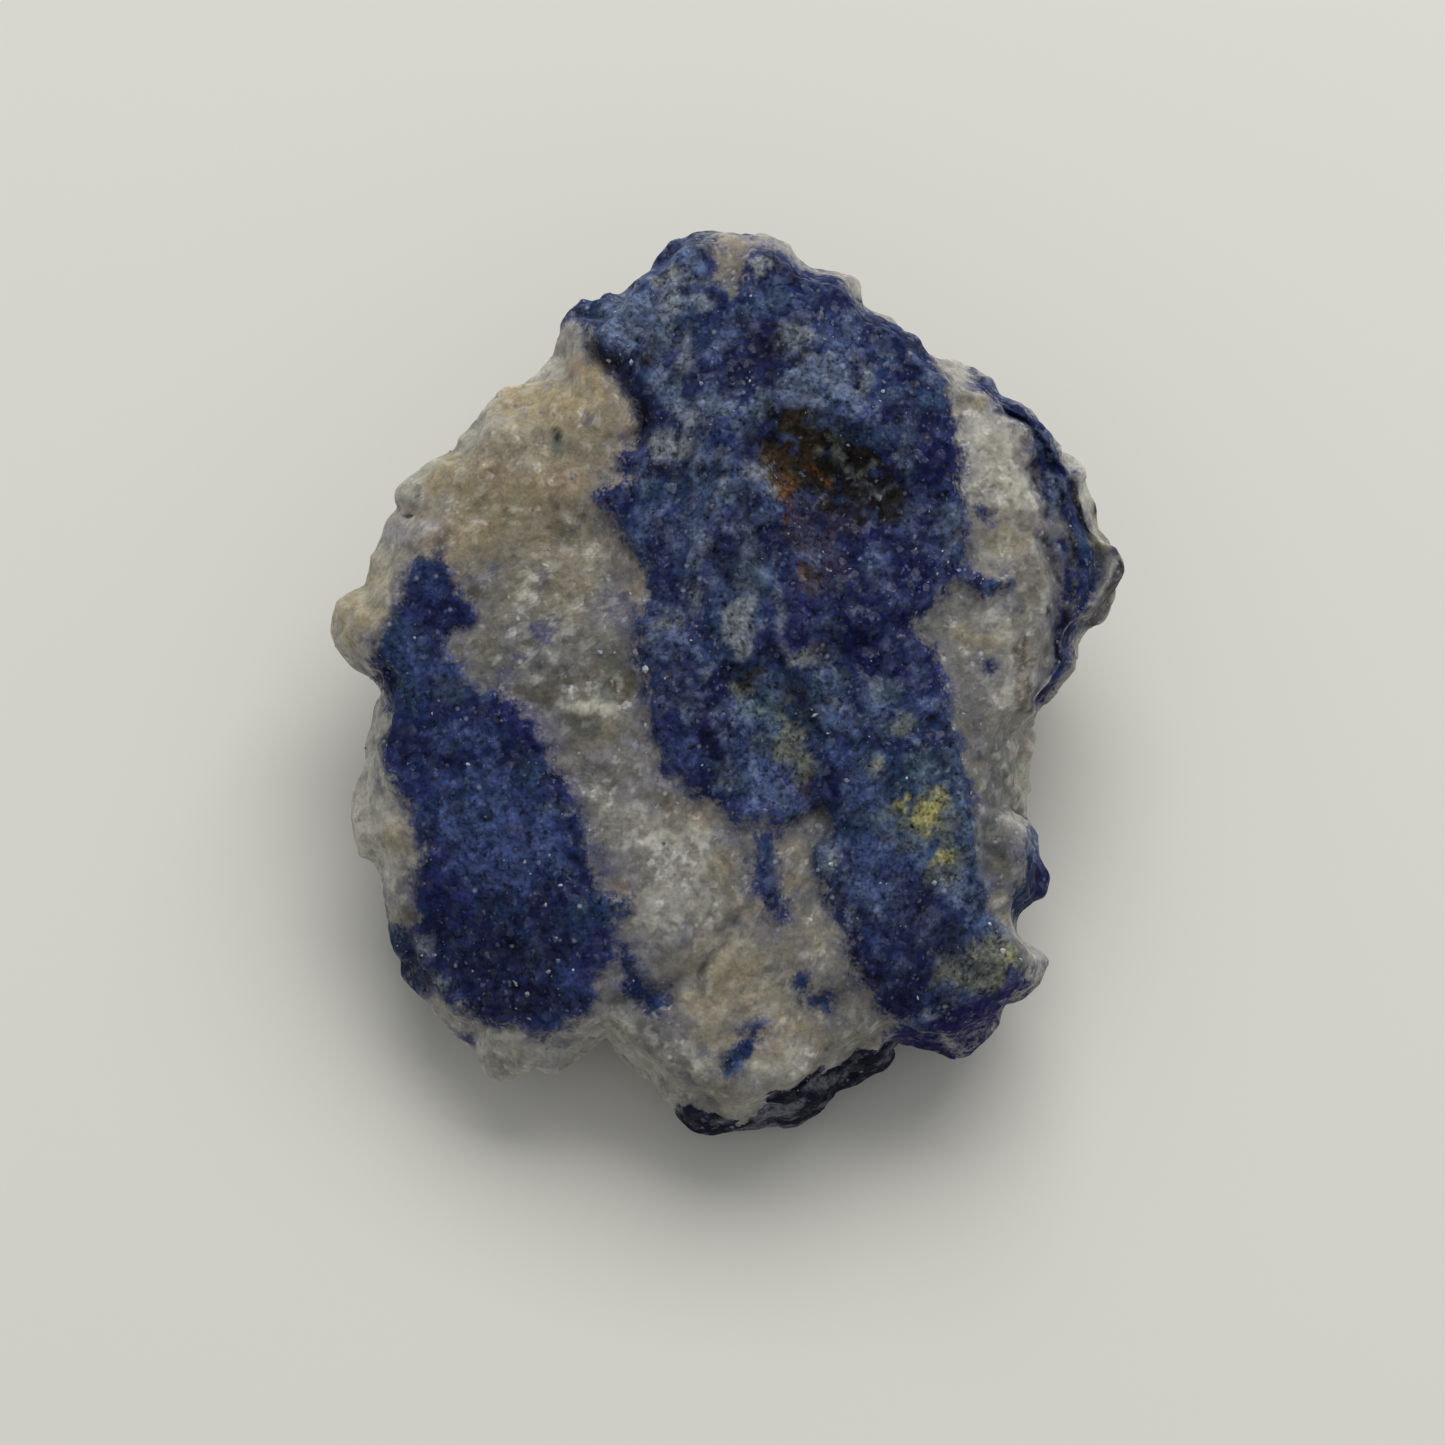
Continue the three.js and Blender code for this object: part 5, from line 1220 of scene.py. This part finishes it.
# %% Loose crystals
GRAIN_COUNT = 1000
SMALL_GRAIN, LARGE_GRAIN = 0.04, 0.12  # radii of the scattered grains
SMALL_BIAS = 2.5  # the higher, the more of them are small
CLUSTER_SIZE, CLUSTER_FLOOR = 1.6, 0.1
QUARTZ_SHARE = 0.12  # how thickly they lie on the quartz, beside 1 on the blue
BOX_MARGIN = 0.3  # height above the resting plane under which there are none
PLACED_SHARE = 0.8  # radius of a placed grain, as a share of its radius in the list
WALL_SHARE, WALL_AWAY = 0.2, 9  # places with less face than this count as so much further off
SUNK_SHARE = 0.7  # how deep a grain's middle is under the skin, as a share of its radius
STRETCH = (0.45, 1.4)
DULL_GRAIN, BRIGHT_GRAIN, DULL_BIAS = (76, 84, 104), (160, 163, 164), 2.2
# grains that stand out by themselves: x, y, radius
PLACED_GRAINS = [
    (1.55, 21.4, 0.16), (0.0, 17.3, 0.18), (-1.4, 21.3, 0.18), (-2.7, 19.8, 0.18), (-5.4, 15.0, 0.22),
    (-4.2, 14.4, 0.26), (-4.3, 14.7, 0.22), (-1.0, 13.8, 0.18), (-0.4, 13.5, 0.2), (0.4, 13.7, 0.18),
    (1.3, 13.9, 0.2), (9.0, 14.9, 0.18), (8.8, 13.4, 0.2), (9.6, 13.5, 0.2), (6.5, 14.9, 0.18),
    (7.1, 14.1, 0.2), (7.4, 13.3, 0.18), (6.8, 13.6, 0.16), (1.2, 8.6, 0.2), (-1.2, 8.3, 0.2),
    (-0.5, 8.0, 0.2), (-1.9, 4.1, 0.18), (7.4, 8.45, 0.26), (6.7, 7.3, 0.22), (3.2, 7.4, 0.22),
    (5.0, 4.95, 0.18), (4.4, 3.45, 0.18), (7.4, 3.95, 0.2), (9.0, 5.9, 0.2), (11.1, 5.0, 0.3),
    (-2.8, 5.2, 0.22), (9.0, 1.75, 0.22), (8.9, -0.1, 0.22), (2.7, -1.85, 0.24), (4.3, -1.7, 0.24),
    (4.1, -1.5, 0.18), (0.35, -4.35, 0.16), (1.8, -6.1, 0.2), (2.5, -7.1, 0.22), (3.3, -7.3, 0.2),
    (4.9, -8.6, 0.28), (5.3, -8.4, 0.28), (4.5, -8.9, 0.22), (5.8, -7.7, 0.2), (6.3, -11.1, 0.2),
    (-2.8, -7.65, 0.3), (-3.2, -5.8, 0.2), (-3.0, -6.0, 0.2), (-1.0, -5.8, 0.2), (-0.9, -10.0, 0.24),
    (-1.3, -9.3, 0.2), (-8.2, 6.0, 0.22), (-6.8, 4.7, 0.2), (-9.75, 12.3, 0.2), (-11.1, 12.2, 0.24),
    (-5.2, 9.8, 0.2), (-4.4, 9.1, 0.22), (-12.5, 9.0, 0.18), (-7.2, 9.3, 0.2), (-5.9, 1.3, 0.26),
    (-5.1, 1.2, 0.18), (-4.1, 1.2, 0.3), (-4.4, 4.0, 0.2), (-4.0, 3.7, 0.2), (-3.6, -3.5, 0.2),
    (-3.6, -2.2, 0.18), (-10.5, -2.05, 0.2), (-9.9, -2.1, 0.18), (-13.5, -4.1, 0.2), (-12.1, -4.0, 0.22),
    (-11.2, -6.5, 0.22), (-10.4, -8.4, 0.22), (-9.0, -9.1, 0.28), (-9.4, -8.6, 0.18), (-7.8, -9.7, 0.26),
    (-7.6, -6.3, 0.2), (-8.5, -4.8, 0.2), (-8.4, -10.6, 0.2), (-9.9, -14.1, 0.32), (-8.3, -13.9, 0.32),
    (-8.1, -13.8, 0.26), (-8.7, -14.1, 0.26), (-8.0, -14.7, 0.24), (-9.4, -14.8, 0.26), (-9.3, -15.9, 0.28),
    (-9.2, -15.7, 0.22), (-10.4, -15.5, 0.22), (-9.9, -15.4, 0.2), (-7.0, -13.6, 0.22), (-6.7, -15.4, 0.2),
    (-7.8, -13.2, 0.24), (-5.9, -12.4, 0.2), (-6.9, -12.9, 0.18), (-7.9, -12.2, 0.2), (-13.7, -14.4, 0.2),
    (-10.6, -16.6, 0.22), (-13.8, -1.6, 0.18), (-14.6, 1.9, 0.18), (13.0, -12.9, 0.26), (12.4, -1.3, 0.22),
    (13.1, 2.7, 0.3), (8.6, -4.7, 0.2), (11.6, -5.3, 0.18), (13.2, -12.7, 0.2), (9.9, -9.4, 0.18),
    (5.7, -4.5, 0.22), (5.8, -4.8, 0.18), (7.7, -3.0, 0.2), (-3.7, 0.4, 0.22), (14.95, 6.9, 0.3),
]
GOLDEN = (1 + math.sqrt(5)) / 2
CHIP_CORNERS = np.array([
    (-1, GOLDEN, 0), (1, GOLDEN, 0), (-1, -GOLDEN, 0), (1, -GOLDEN, 0), (0, -1, GOLDEN),
    (0, 1, GOLDEN), (0, -1, -GOLDEN), (0, 1, -GOLDEN), (GOLDEN, 0, -1), (GOLDEN, 0, 1),
    (-GOLDEN, 0, -1), (-GOLDEN, 0, 1),
]) / math.hypot(1, GOLDEN)
CHIP_FACES = np.array([
    (0, 11, 5), (0, 5, 1), (0, 1, 7), (0, 7, 10), (0, 10, 11), (1, 5, 9), (5, 11, 4),
    (11, 10, 2), (10, 7, 6), (7, 1, 8), (3, 9, 4), (3, 4, 2), (3, 2, 6), (3, 6, 8), (3, 8, 9),
    (4, 9, 5), (2, 4, 11), (6, 2, 10), (8, 6, 7), (9, 8, 1),
])


def point_areas(points, triangles):
    """A third of the area of every triangle, given to each of its corners."""
    a, b, c = points[triangles.T]
    area = np.linalg.norm(np.cross(b - a, c - a), axis=1) / 6
    return np.bincount(triangles.ravel(), np.repeat(area, 3), len(points))


def random_turns(rng, count):
    """Turning matrices from random quaternions w, x, y, z of length 1, by the usual products."""
    quaternions = rng.normal(size=(4, count))
    w, x, y, z = quaternions / np.linalg.norm(quaternions, axis=0)
    rows = [
        (1 - 2 * (y * y + z * z), 2 * (x * y - w * z), 2 * (x * z + w * y)),
        (2 * (x * y + w * z), 1 - 2 * (x * x + z * z), 2 * (y * z - w * x)),
        (2 * (x * z - w * y), 2 * (y * z + w * x), 1 - 2 * (x * x + y * y)),
    ]
    return np.moveaxis(np.array(rows), -1, 0)


rng = np.random.default_rng(1881)
clusters = np.maximum(cloud(skin, CLUSTER_SIZE, octaves=2, stream=141), 0) ** 2 + CLUSTER_FLOOR
liking = QUARTZ_SHARE + (1 - QUARTZ_SHARE) * in_blue
salted = point_areas(skin, net_triangles) * clusters * liking * off_base
salted[placed[:, 2] < BOX_MARGIN * MM] = 0
seats = rng.choice(len(skin), GRAIN_COUNT, replace=False, p=salted / salted.sum())
radii = SMALL_GRAIN + (LARGE_GRAIN - SMALL_GRAIN) * rng.random(GRAIN_COUNT) ** SMALL_BIAS
wanted = np.array(PLACED_GRAINS)
away_from = np.hypot(skin[:, 0] - wanted[:, :1], skin[:, 1] - wanted[:, 1:2])
away_from += WALL_AWAY * (face_share < WALL_SHARE)
seats = np.concatenate([away_from.argmin(1), seats])
radii = np.concatenate([wanted[:, 2] * PLACED_SHARE, radii])

stretch = rng.uniform(*STRETCH, (len(seats), 1, 3))
turned = (CHIP_CORNERS * stretch) @ random_turns(rng, len(seats))
way_out = out[seats] @ np.stack([(1, 0, 0), face_up, face_out])
centres = placed[seats] - way_out * (SUNK_SHARE * radii * MM)[:, None]
grains = centres[:, None] + turned * (radii * MM)[:, None, None]
grains = grains[((grains > stone_low * MM) & (grains < stone_high * MM)).all((1, 2))]
grain_triangles = CHIP_FACES + len(CHIP_CORNERS) * np.arange(len(grains))[:, None, None]
crystals = mesh_piece("loose_crystals", grains.reshape(-1, 3), grain_triangles.reshape(-1, 3))
crystals.data.polygons.foreach_set("use_smooth", np.zeros(len(crystals.data.polygons), bool))
frost = blend(tone(*DULL_GRAIN), tone(*BRIGHT_GRAIN), rng.random(len(grains)) ** DULL_BIAS)
store_colour(crystals, "crystal_tone", np.repeat(frost, len(CHIP_CORNERS), axis=0))
print("loose crystals:", len(grains), "of", len(seats), "inside the CAD box")

# %% [markdown]
# ## The finish
# A close look at the break shows grains a third of a millimetre across, each a flat chip that
# catches the light its own way. The finish reads the tones kept on the points, then gives every
# grain its own lightness, gloss and tilt, paints glints on a few specks and paints shade in a few small
# pits. The vein's edge follows whole grains, so blue and quartz interlock instead of meeting in a smooth
# line. Light goes a little way into quartz before it comes back out, so both stones have some subsurface
# scattering, quartz the most.

# %% Finish
GRAIN_MM, SPECK_MM, SALT_MM = 0.36, 0.15, 0.5  # cells
WANDER_MM, BLOTCH_MM, DUST_MM = 0.77, 0.42, 0.18  # noises
EDGE_WANDER, EDGE_DUST, EDGE_SPECK = 1.2, 0.7, 0.3  # mm that each moves a vein's edge by in all
EDGE_MM = (-0.28, 0.22)  # from quartz to blue
HAZE_MM = (-1.2, 0.0)  # where the quartz beside a vein is tinged
MIDDLE_NOISE = (0.32, 0.68)  # the usual range of a noise
SALT_EDGE = (0.3, 0.12)  # from a salt grain's edge to its middle, in cells
BUMP_STRENGTH, PLANE_RISE, DUST_RISE = 0.8, 0.45, 0.05
QUARTZ_IOR = 1.54
GLOW_DEPTH = 1.1 * MM
GLOW_COLOUR = (1.0, 0.92, 0.8)
VEIN_HAZE = (0.07, 0.075, 0.14, 1)
# the colour of the painted glints in the vein
VEIN_GLINT = (0.14, 0.17, 0.25, 1)
VEIN_SALT = (0.27, 0.3, 0.35, 1)
# the colour of frosted salt grains, and of the painted glints in the quartz
QUARTZ_FROST_AND_GLINT = (0.55, 0.55, 0.51, 1)
CRYSTAL_ROUGHNESS, CRYSTAL_GLOW, CRYSTAL_GLOW_DEPTH = 0.4, 0.5, 0.3 * MM


class Nodes:
    """Adds nodes to a material and joins them, so that a finish reads as a list of steps."""

    def __init__(self, material):
        material.use_nodes = True
        self.tree = material.node_tree
        self.shader = self.tree.nodes["Principled BSDF"]

    def add(self, kind, inputs=(), **settings):
        """A new node with its settings; inputs are pairs of socket and value or other socket."""
        node = self.tree.nodes.new("ShaderNode" + kind)
        for name, value in settings.items():
            setattr(node, name, value)
        for socket, value in inputs:
            self.put(value, node.inputs[socket])
        return node

    def put(self, value, socket):
        """Joins an output to the socket, or sets the socket to a plain value."""
        if isinstance(value, bpy.types.NodeSocket):
            self.tree.links.new(value, socket)
        else:
            socket.default_value = value

    def maths(self, operation, *values):
        """The result of a maths node on up to three numbers or sockets."""
        return self.add("Math", enumerate(values), operation=operation).outputs[0]

    def remap(self, value, low, high, new_low, new_high):
        """value's range low..high carried over to new_low..new_high, and held at its ends."""
        pairs = zip(range(5), (value, low, high, new_low, new_high))
        return self.add("MapRange", pairs).outputs[0]

    def mix(self, amount, first, second):
        """first and second colour mixed by amount."""
        pairs = [(0, amount), (6, first), (7, second)]
        return self.add("Mix", pairs, data_type="RGBA").outputs[2]

    def scaled(self, vector, share):
        """A vector or colour times a number."""
        return self.add("VectorMath", [(0, vector), (3, share)], operation="SCALE").outputs[0]

    def noise(self, where, size, detail):
        """Smooth noise about 0.5 with features of the given size in mm."""
        pairs = [("Vector", where), ("Scale", 1 / size), ("Detail", detail)]
        return self.add("TexNoise", pairs).outputs[0]

    def grains(self, where, size):
        """Cells of the given size in mm: each one's random colour in three numbers, the
        distance from its middle in cells, and the height of a plane tilted its own way."""
        cell = self.add("TexVoronoi", [("Vector", where), ("Scale", 1 / size)])
        parts = self.add("SeparateColor", [(0, cell.outputs["Color"])])
        pairs = [(0, where), (1, cell.outputs["Position"])]
        away = self.add("VectorMath", pairs, operation="SUBTRACT").outputs[0]
        pairs = [(0, cell.outputs["Color"]), (1, (0.5, 0.5, 0.5))]
        tilt = self.add("VectorMath", pairs, operation="SUBTRACT").outputs[0]
        plane = self.add("VectorMath", [(0, away), (1, tilt)], operation="DOT_PRODUCT")
        return parts.outputs, cell.outputs["Distance"], plane.outputs["Value"]


def stone_finish():
    """Tones by grain, with painted glints on a few specks and painted shade in a few pits, the vein's edge
    by grain, gloss by grain, and relief from the grains' tilted planes and a fine noise."""
    material = bpy.data.materials.new("dumortierite_in_quartz")
    n = Nodes(material)
    place = n.add("TexCoord").outputs["Object"]
    where = n.scaled(place, 1 / MM)
    grain, _, grain_plane = n.grains(where, GRAIN_MM)
    speck, _, speck_plane = n.grains(where, SPECK_MM)
    salt, from_salt, _ = n.grains(where, SALT_MM)
    wander = n.noise(where, WANDER_MM, 4.0)
    blotch = n.noise(where, BLOTCH_MM, 3.0)
    dust = n.noise(where, DUST_MM, 3.0)

    edge = n.add("Attribute", attribute_name="blue_mm").outputs["Fac"]
    for value, reach in ((wander, EDGE_WANDER), (dust, EDGE_DUST), (speck[0], EDGE_SPECK)):
        edge = n.maths("ADD", edge, n.maths("MULTIPLY_ADD", value, reach, -reach / 2))
    blue_here = n.remap(edge, *EDGE_MM, 0.0, 1.0)
    haze = n.remap(edge, *HAZE_MM, 0.0, 0.6)
    haze = n.maths("MULTIPLY", haze, n.remap(wander, 0.4, 0.6, 0.2, 1.0))

    vein = n.add("Attribute", attribute_name="vein_tone").outputs["Color"]
    quartz = n.add("Attribute", attribute_name="quartz_tone").outputs["Color"]
    quartz = n.mix(haze, quartz, VEIN_HAZE)
    uneven = n.remap(blotch, *MIDDLE_NOISE, -0.45, 0.45)
    powder = n.remap(dust, *MIDDLE_NOISE, -0.3, 0.3)
    vein_light = n.maths("ADD", uneven, n.remap(speck[0], 0.0, 1.0, 0.6, 1.56))
    vein = n.scaled(vein, n.maths("ADD", vein_light, powder))
    # painted glints: clustered specks mixed towards a pale blue in the vein, and by half towards frost in
    # the quartz
    glint = n.remap(n.maths("MULTIPLY_ADD", wander, 0.55, speck[1]), 1.22, 1.3, 0.0, 0.5)
    vein = n.mix(glint, vein, VEIN_GLINT)
    quartz_light = n.maths("MULTIPLY_ADD", uneven, 0.25, n.remap(speck[2], 0.0, 1.0, 0.92, 1.08))
    quartz = n.scaled(quartz, n.maths("MULTIPLY_ADD", powder, 0.4, quartz_light))
    quartz = n.mix(n.maths("MULTIPLY", glint, 0.5), quartz, QUARTZ_FROST_AND_GLINT)

    clustered = n.remap(wander, 0.42, 0.62, 0.0, 0.12)
    chosen = n.remap(n.maths("ADD", salt[1], clustered), 0.98, 1.0, 0.0, 1.0)
    dot = n.maths("MULTIPLY", n.remap(from_salt, *SALT_EDGE, 0.0, 0.6), chosen)
    vein = n.mix(dot, vein, VEIN_SALT)
    quartz = n.mix(dot, quartz, QUARTZ_FROST_AND_GLINT)
    # painted shade: a few salt cells darkened as small pits, fully in the vein and by half in the quartz
    hollow = n.remap(from_salt, *SALT_EDGE, 0.0, 0.75)
    pit = n.maths("MULTIPLY", hollow, n.remap(salt[2], 0.93, 0.95, 0.0, 1.0))
    vein = n.scaled(vein, n.maths("SUBTRACT", 1.0, pit))
    quartz = n.scaled(quartz, n.maths("MULTIPLY_ADD", pit, -0.5, 1.0))
    n.put(n.mix(blue_here, quartz, vein), n.shader.inputs["Base Color"])

    gloss = n.remap(grain[1], 0.0, 0.6, 0.3, 0.78)
    n.put(n.maths("MULTIPLY_ADD", blue_here, 0.1, gloss), n.shader.inputs["Roughness"])
    planes = n.maths("ADD", grain_plane, speck_plane)
    height = n.maths("MULTIPLY_ADD", planes, PLANE_RISE, n.maths("MULTIPLY", dust, DUST_RISE))
    pairs = [("Strength", BUMP_STRENGTH), ("Distance", MM), ("Height", height)]
    n.put(n.add("Bump", pairs).outputs["Normal"], n.shader.inputs["Normal"])
    n.put(n.remap(blue_here, 0.0, 1.0, 0.9, 0.4), n.shader.inputs["Subsurface Weight"])
    n.shader.inputs["IOR"].default_value = QUARTZ_IOR
    shine = n.remap(grain[1], 0.0, 0.3, 2.2, 1.0)
    level = n.remap(blue_here, 0.0, 1.0, 0.28, 0.12)
    n.put(n.maths("MULTIPLY", level, shine), n.shader.inputs["Specular IOR Level"])
    n.shader.inputs["Subsurface Radius"].default_value = GLOW_COLOUR
    n.shader.inputs["Subsurface Scale"].default_value = GLOW_DEPTH
    return material


def crystal_finish():
    """Frosted clear quartz in each grain's own tone."""
    material = bpy.data.materials.new("loose_quartz_crystal")
    n = Nodes(material)
    own_tone = n.add("Attribute", attribute_name="crystal_tone").outputs["Color"]
    n.put(own_tone, n.shader.inputs["Base Color"])
    n.shader.inputs["Roughness"].default_value = CRYSTAL_ROUGHNESS
    n.shader.inputs["IOR"].default_value = QUARTZ_IOR
    n.shader.inputs["Subsurface Weight"].default_value = CRYSTAL_GLOW
    n.shader.inputs["Subsurface Radius"].default_value = (1.0, 1.0, 1.0)
    n.shader.inputs["Subsurface Scale"].default_value = CRYSTAL_GLOW_DEPTH
    return material


stone.data.materials.append(stone_finish())
crystals.data.materials.append(crystal_finish())
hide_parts("rough_stone")
for piece in (stone, crystals):
    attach(piece, "root")
    print(piece.name, "triangles:", len(piece.data.polygons))

# %% [markdown]
# ## The stage
# The stone lies on a plain pale floor. One large lamp high at the far right gives it soft shadows
# at the near left, and a pale sky fills them. The floor is stage, not part of the object.

# %% Floor
FLOOR_HALF = 3.0
FLOOR_TONE = (0.62, 0.61, 0.55, 1)
FLOOR_ROUGHNESS = 0.9


def floor_piece():
    """One square of floor at the resting plane, with its matt finish."""
    sides = ((-1, -1), (1, -1), (1, 1), (-1, 1))
    mesh = bpy.data.meshes.new("floor")
    mesh.from_pydata([(x * FLOOR_HALF, y * FLOOR_HALF, 0) for x, y in sides], [], [(0, 1, 2, 3)])
    material = bpy.data.materials.new("floor")
    material.use_nodes = True
    shader = material.node_tree.nodes["Principled BSDF"]
    shader.inputs["Base Color"].default_value = FLOOR_TONE
    shader.inputs["Roughness"].default_value = FLOOR_ROUGHNESS
    mesh.materials.append(material)
    piece = bpy.data.objects.new("floor", mesh)
    bpy.context.scene.collection.objects.link(piece)
    return piece


floor_piece()
print("floor, m across:", 2 * FLOOR_HALF)

# %% [markdown]
# The camera looks straight at the best face, from about a quarter of a metre. The lens is worked
# out from how many millimetres of the face the picture is to span.

# %% Camera and lights
CAMERA_AWAY = 0.26
SPAN_MM = 67.3
SENSOR_MM = 36
NEAREST_SEEN = 0.01
AIM_AT = (-0.07, -2.04, -1.0)  # in the face frame, mm
LAMP_AT = (0.1, 0.42, 0.5)
LAMP_SIZE = (0.6, 0.45)
LAMP_WATTS = 4.2
SKY_TONE = (0.95, 0.96, 1.0, 1)
SKY_STRENGTH = 0.47


def face_point(x, y, n):
    """A place in the face frame as a point of the finished stone, in metres."""
    return Vector(((to_stone(np.array([x, y, n])) + target - middle) * MM).tolist())


def look(thing, direction):
    """Links the object and turns it so that its back points along the direction."""
    bpy.context.scene.collection.objects.link(thing)
    thing.rotation_euler = Vector(direction).to_track_quat("Z", "Y").to_euler()


camera_data = bpy.data.cameras.new("camera")
camera_data.sensor_width = SENSOR_MM
camera_data.lens = SENSOR_MM * CAMERA_AWAY / (SPAN_MM * MM)
camera_data.clip_start = NEAREST_SEEN
camera = bpy.data.objects.new("camera", camera_data)
camera.location = face_point(*AIM_AT) + CAMERA_AWAY * Vector(face_out.tolist())
look(camera, face_out.tolist())
bpy.context.scene.camera = camera

lamp_data = bpy.data.lights.new("lamp", "AREA")
lamp_data.shape = "RECTANGLE"
lamp_data.size, lamp_data.size_y = LAMP_SIZE
lamp_data.energy = LAMP_WATTS
lamp = bpy.data.objects.new("lamp", lamp_data)
lamp.location = LAMP_AT
look(lamp, LAMP_AT)

sky = bpy.data.worlds.new("sky")
sky.use_nodes = True
sky.node_tree.nodes["Background"].inputs["Color"].default_value = SKY_TONE
sky.node_tree.nodes["Background"].inputs["Strength"].default_value = SKY_STRENGTH
bpy.context.scene.world = sky
bpy.context.scene.view_settings.view_transform = "Standard"
print("lens, mm:", round(camera_data.lens, 1))
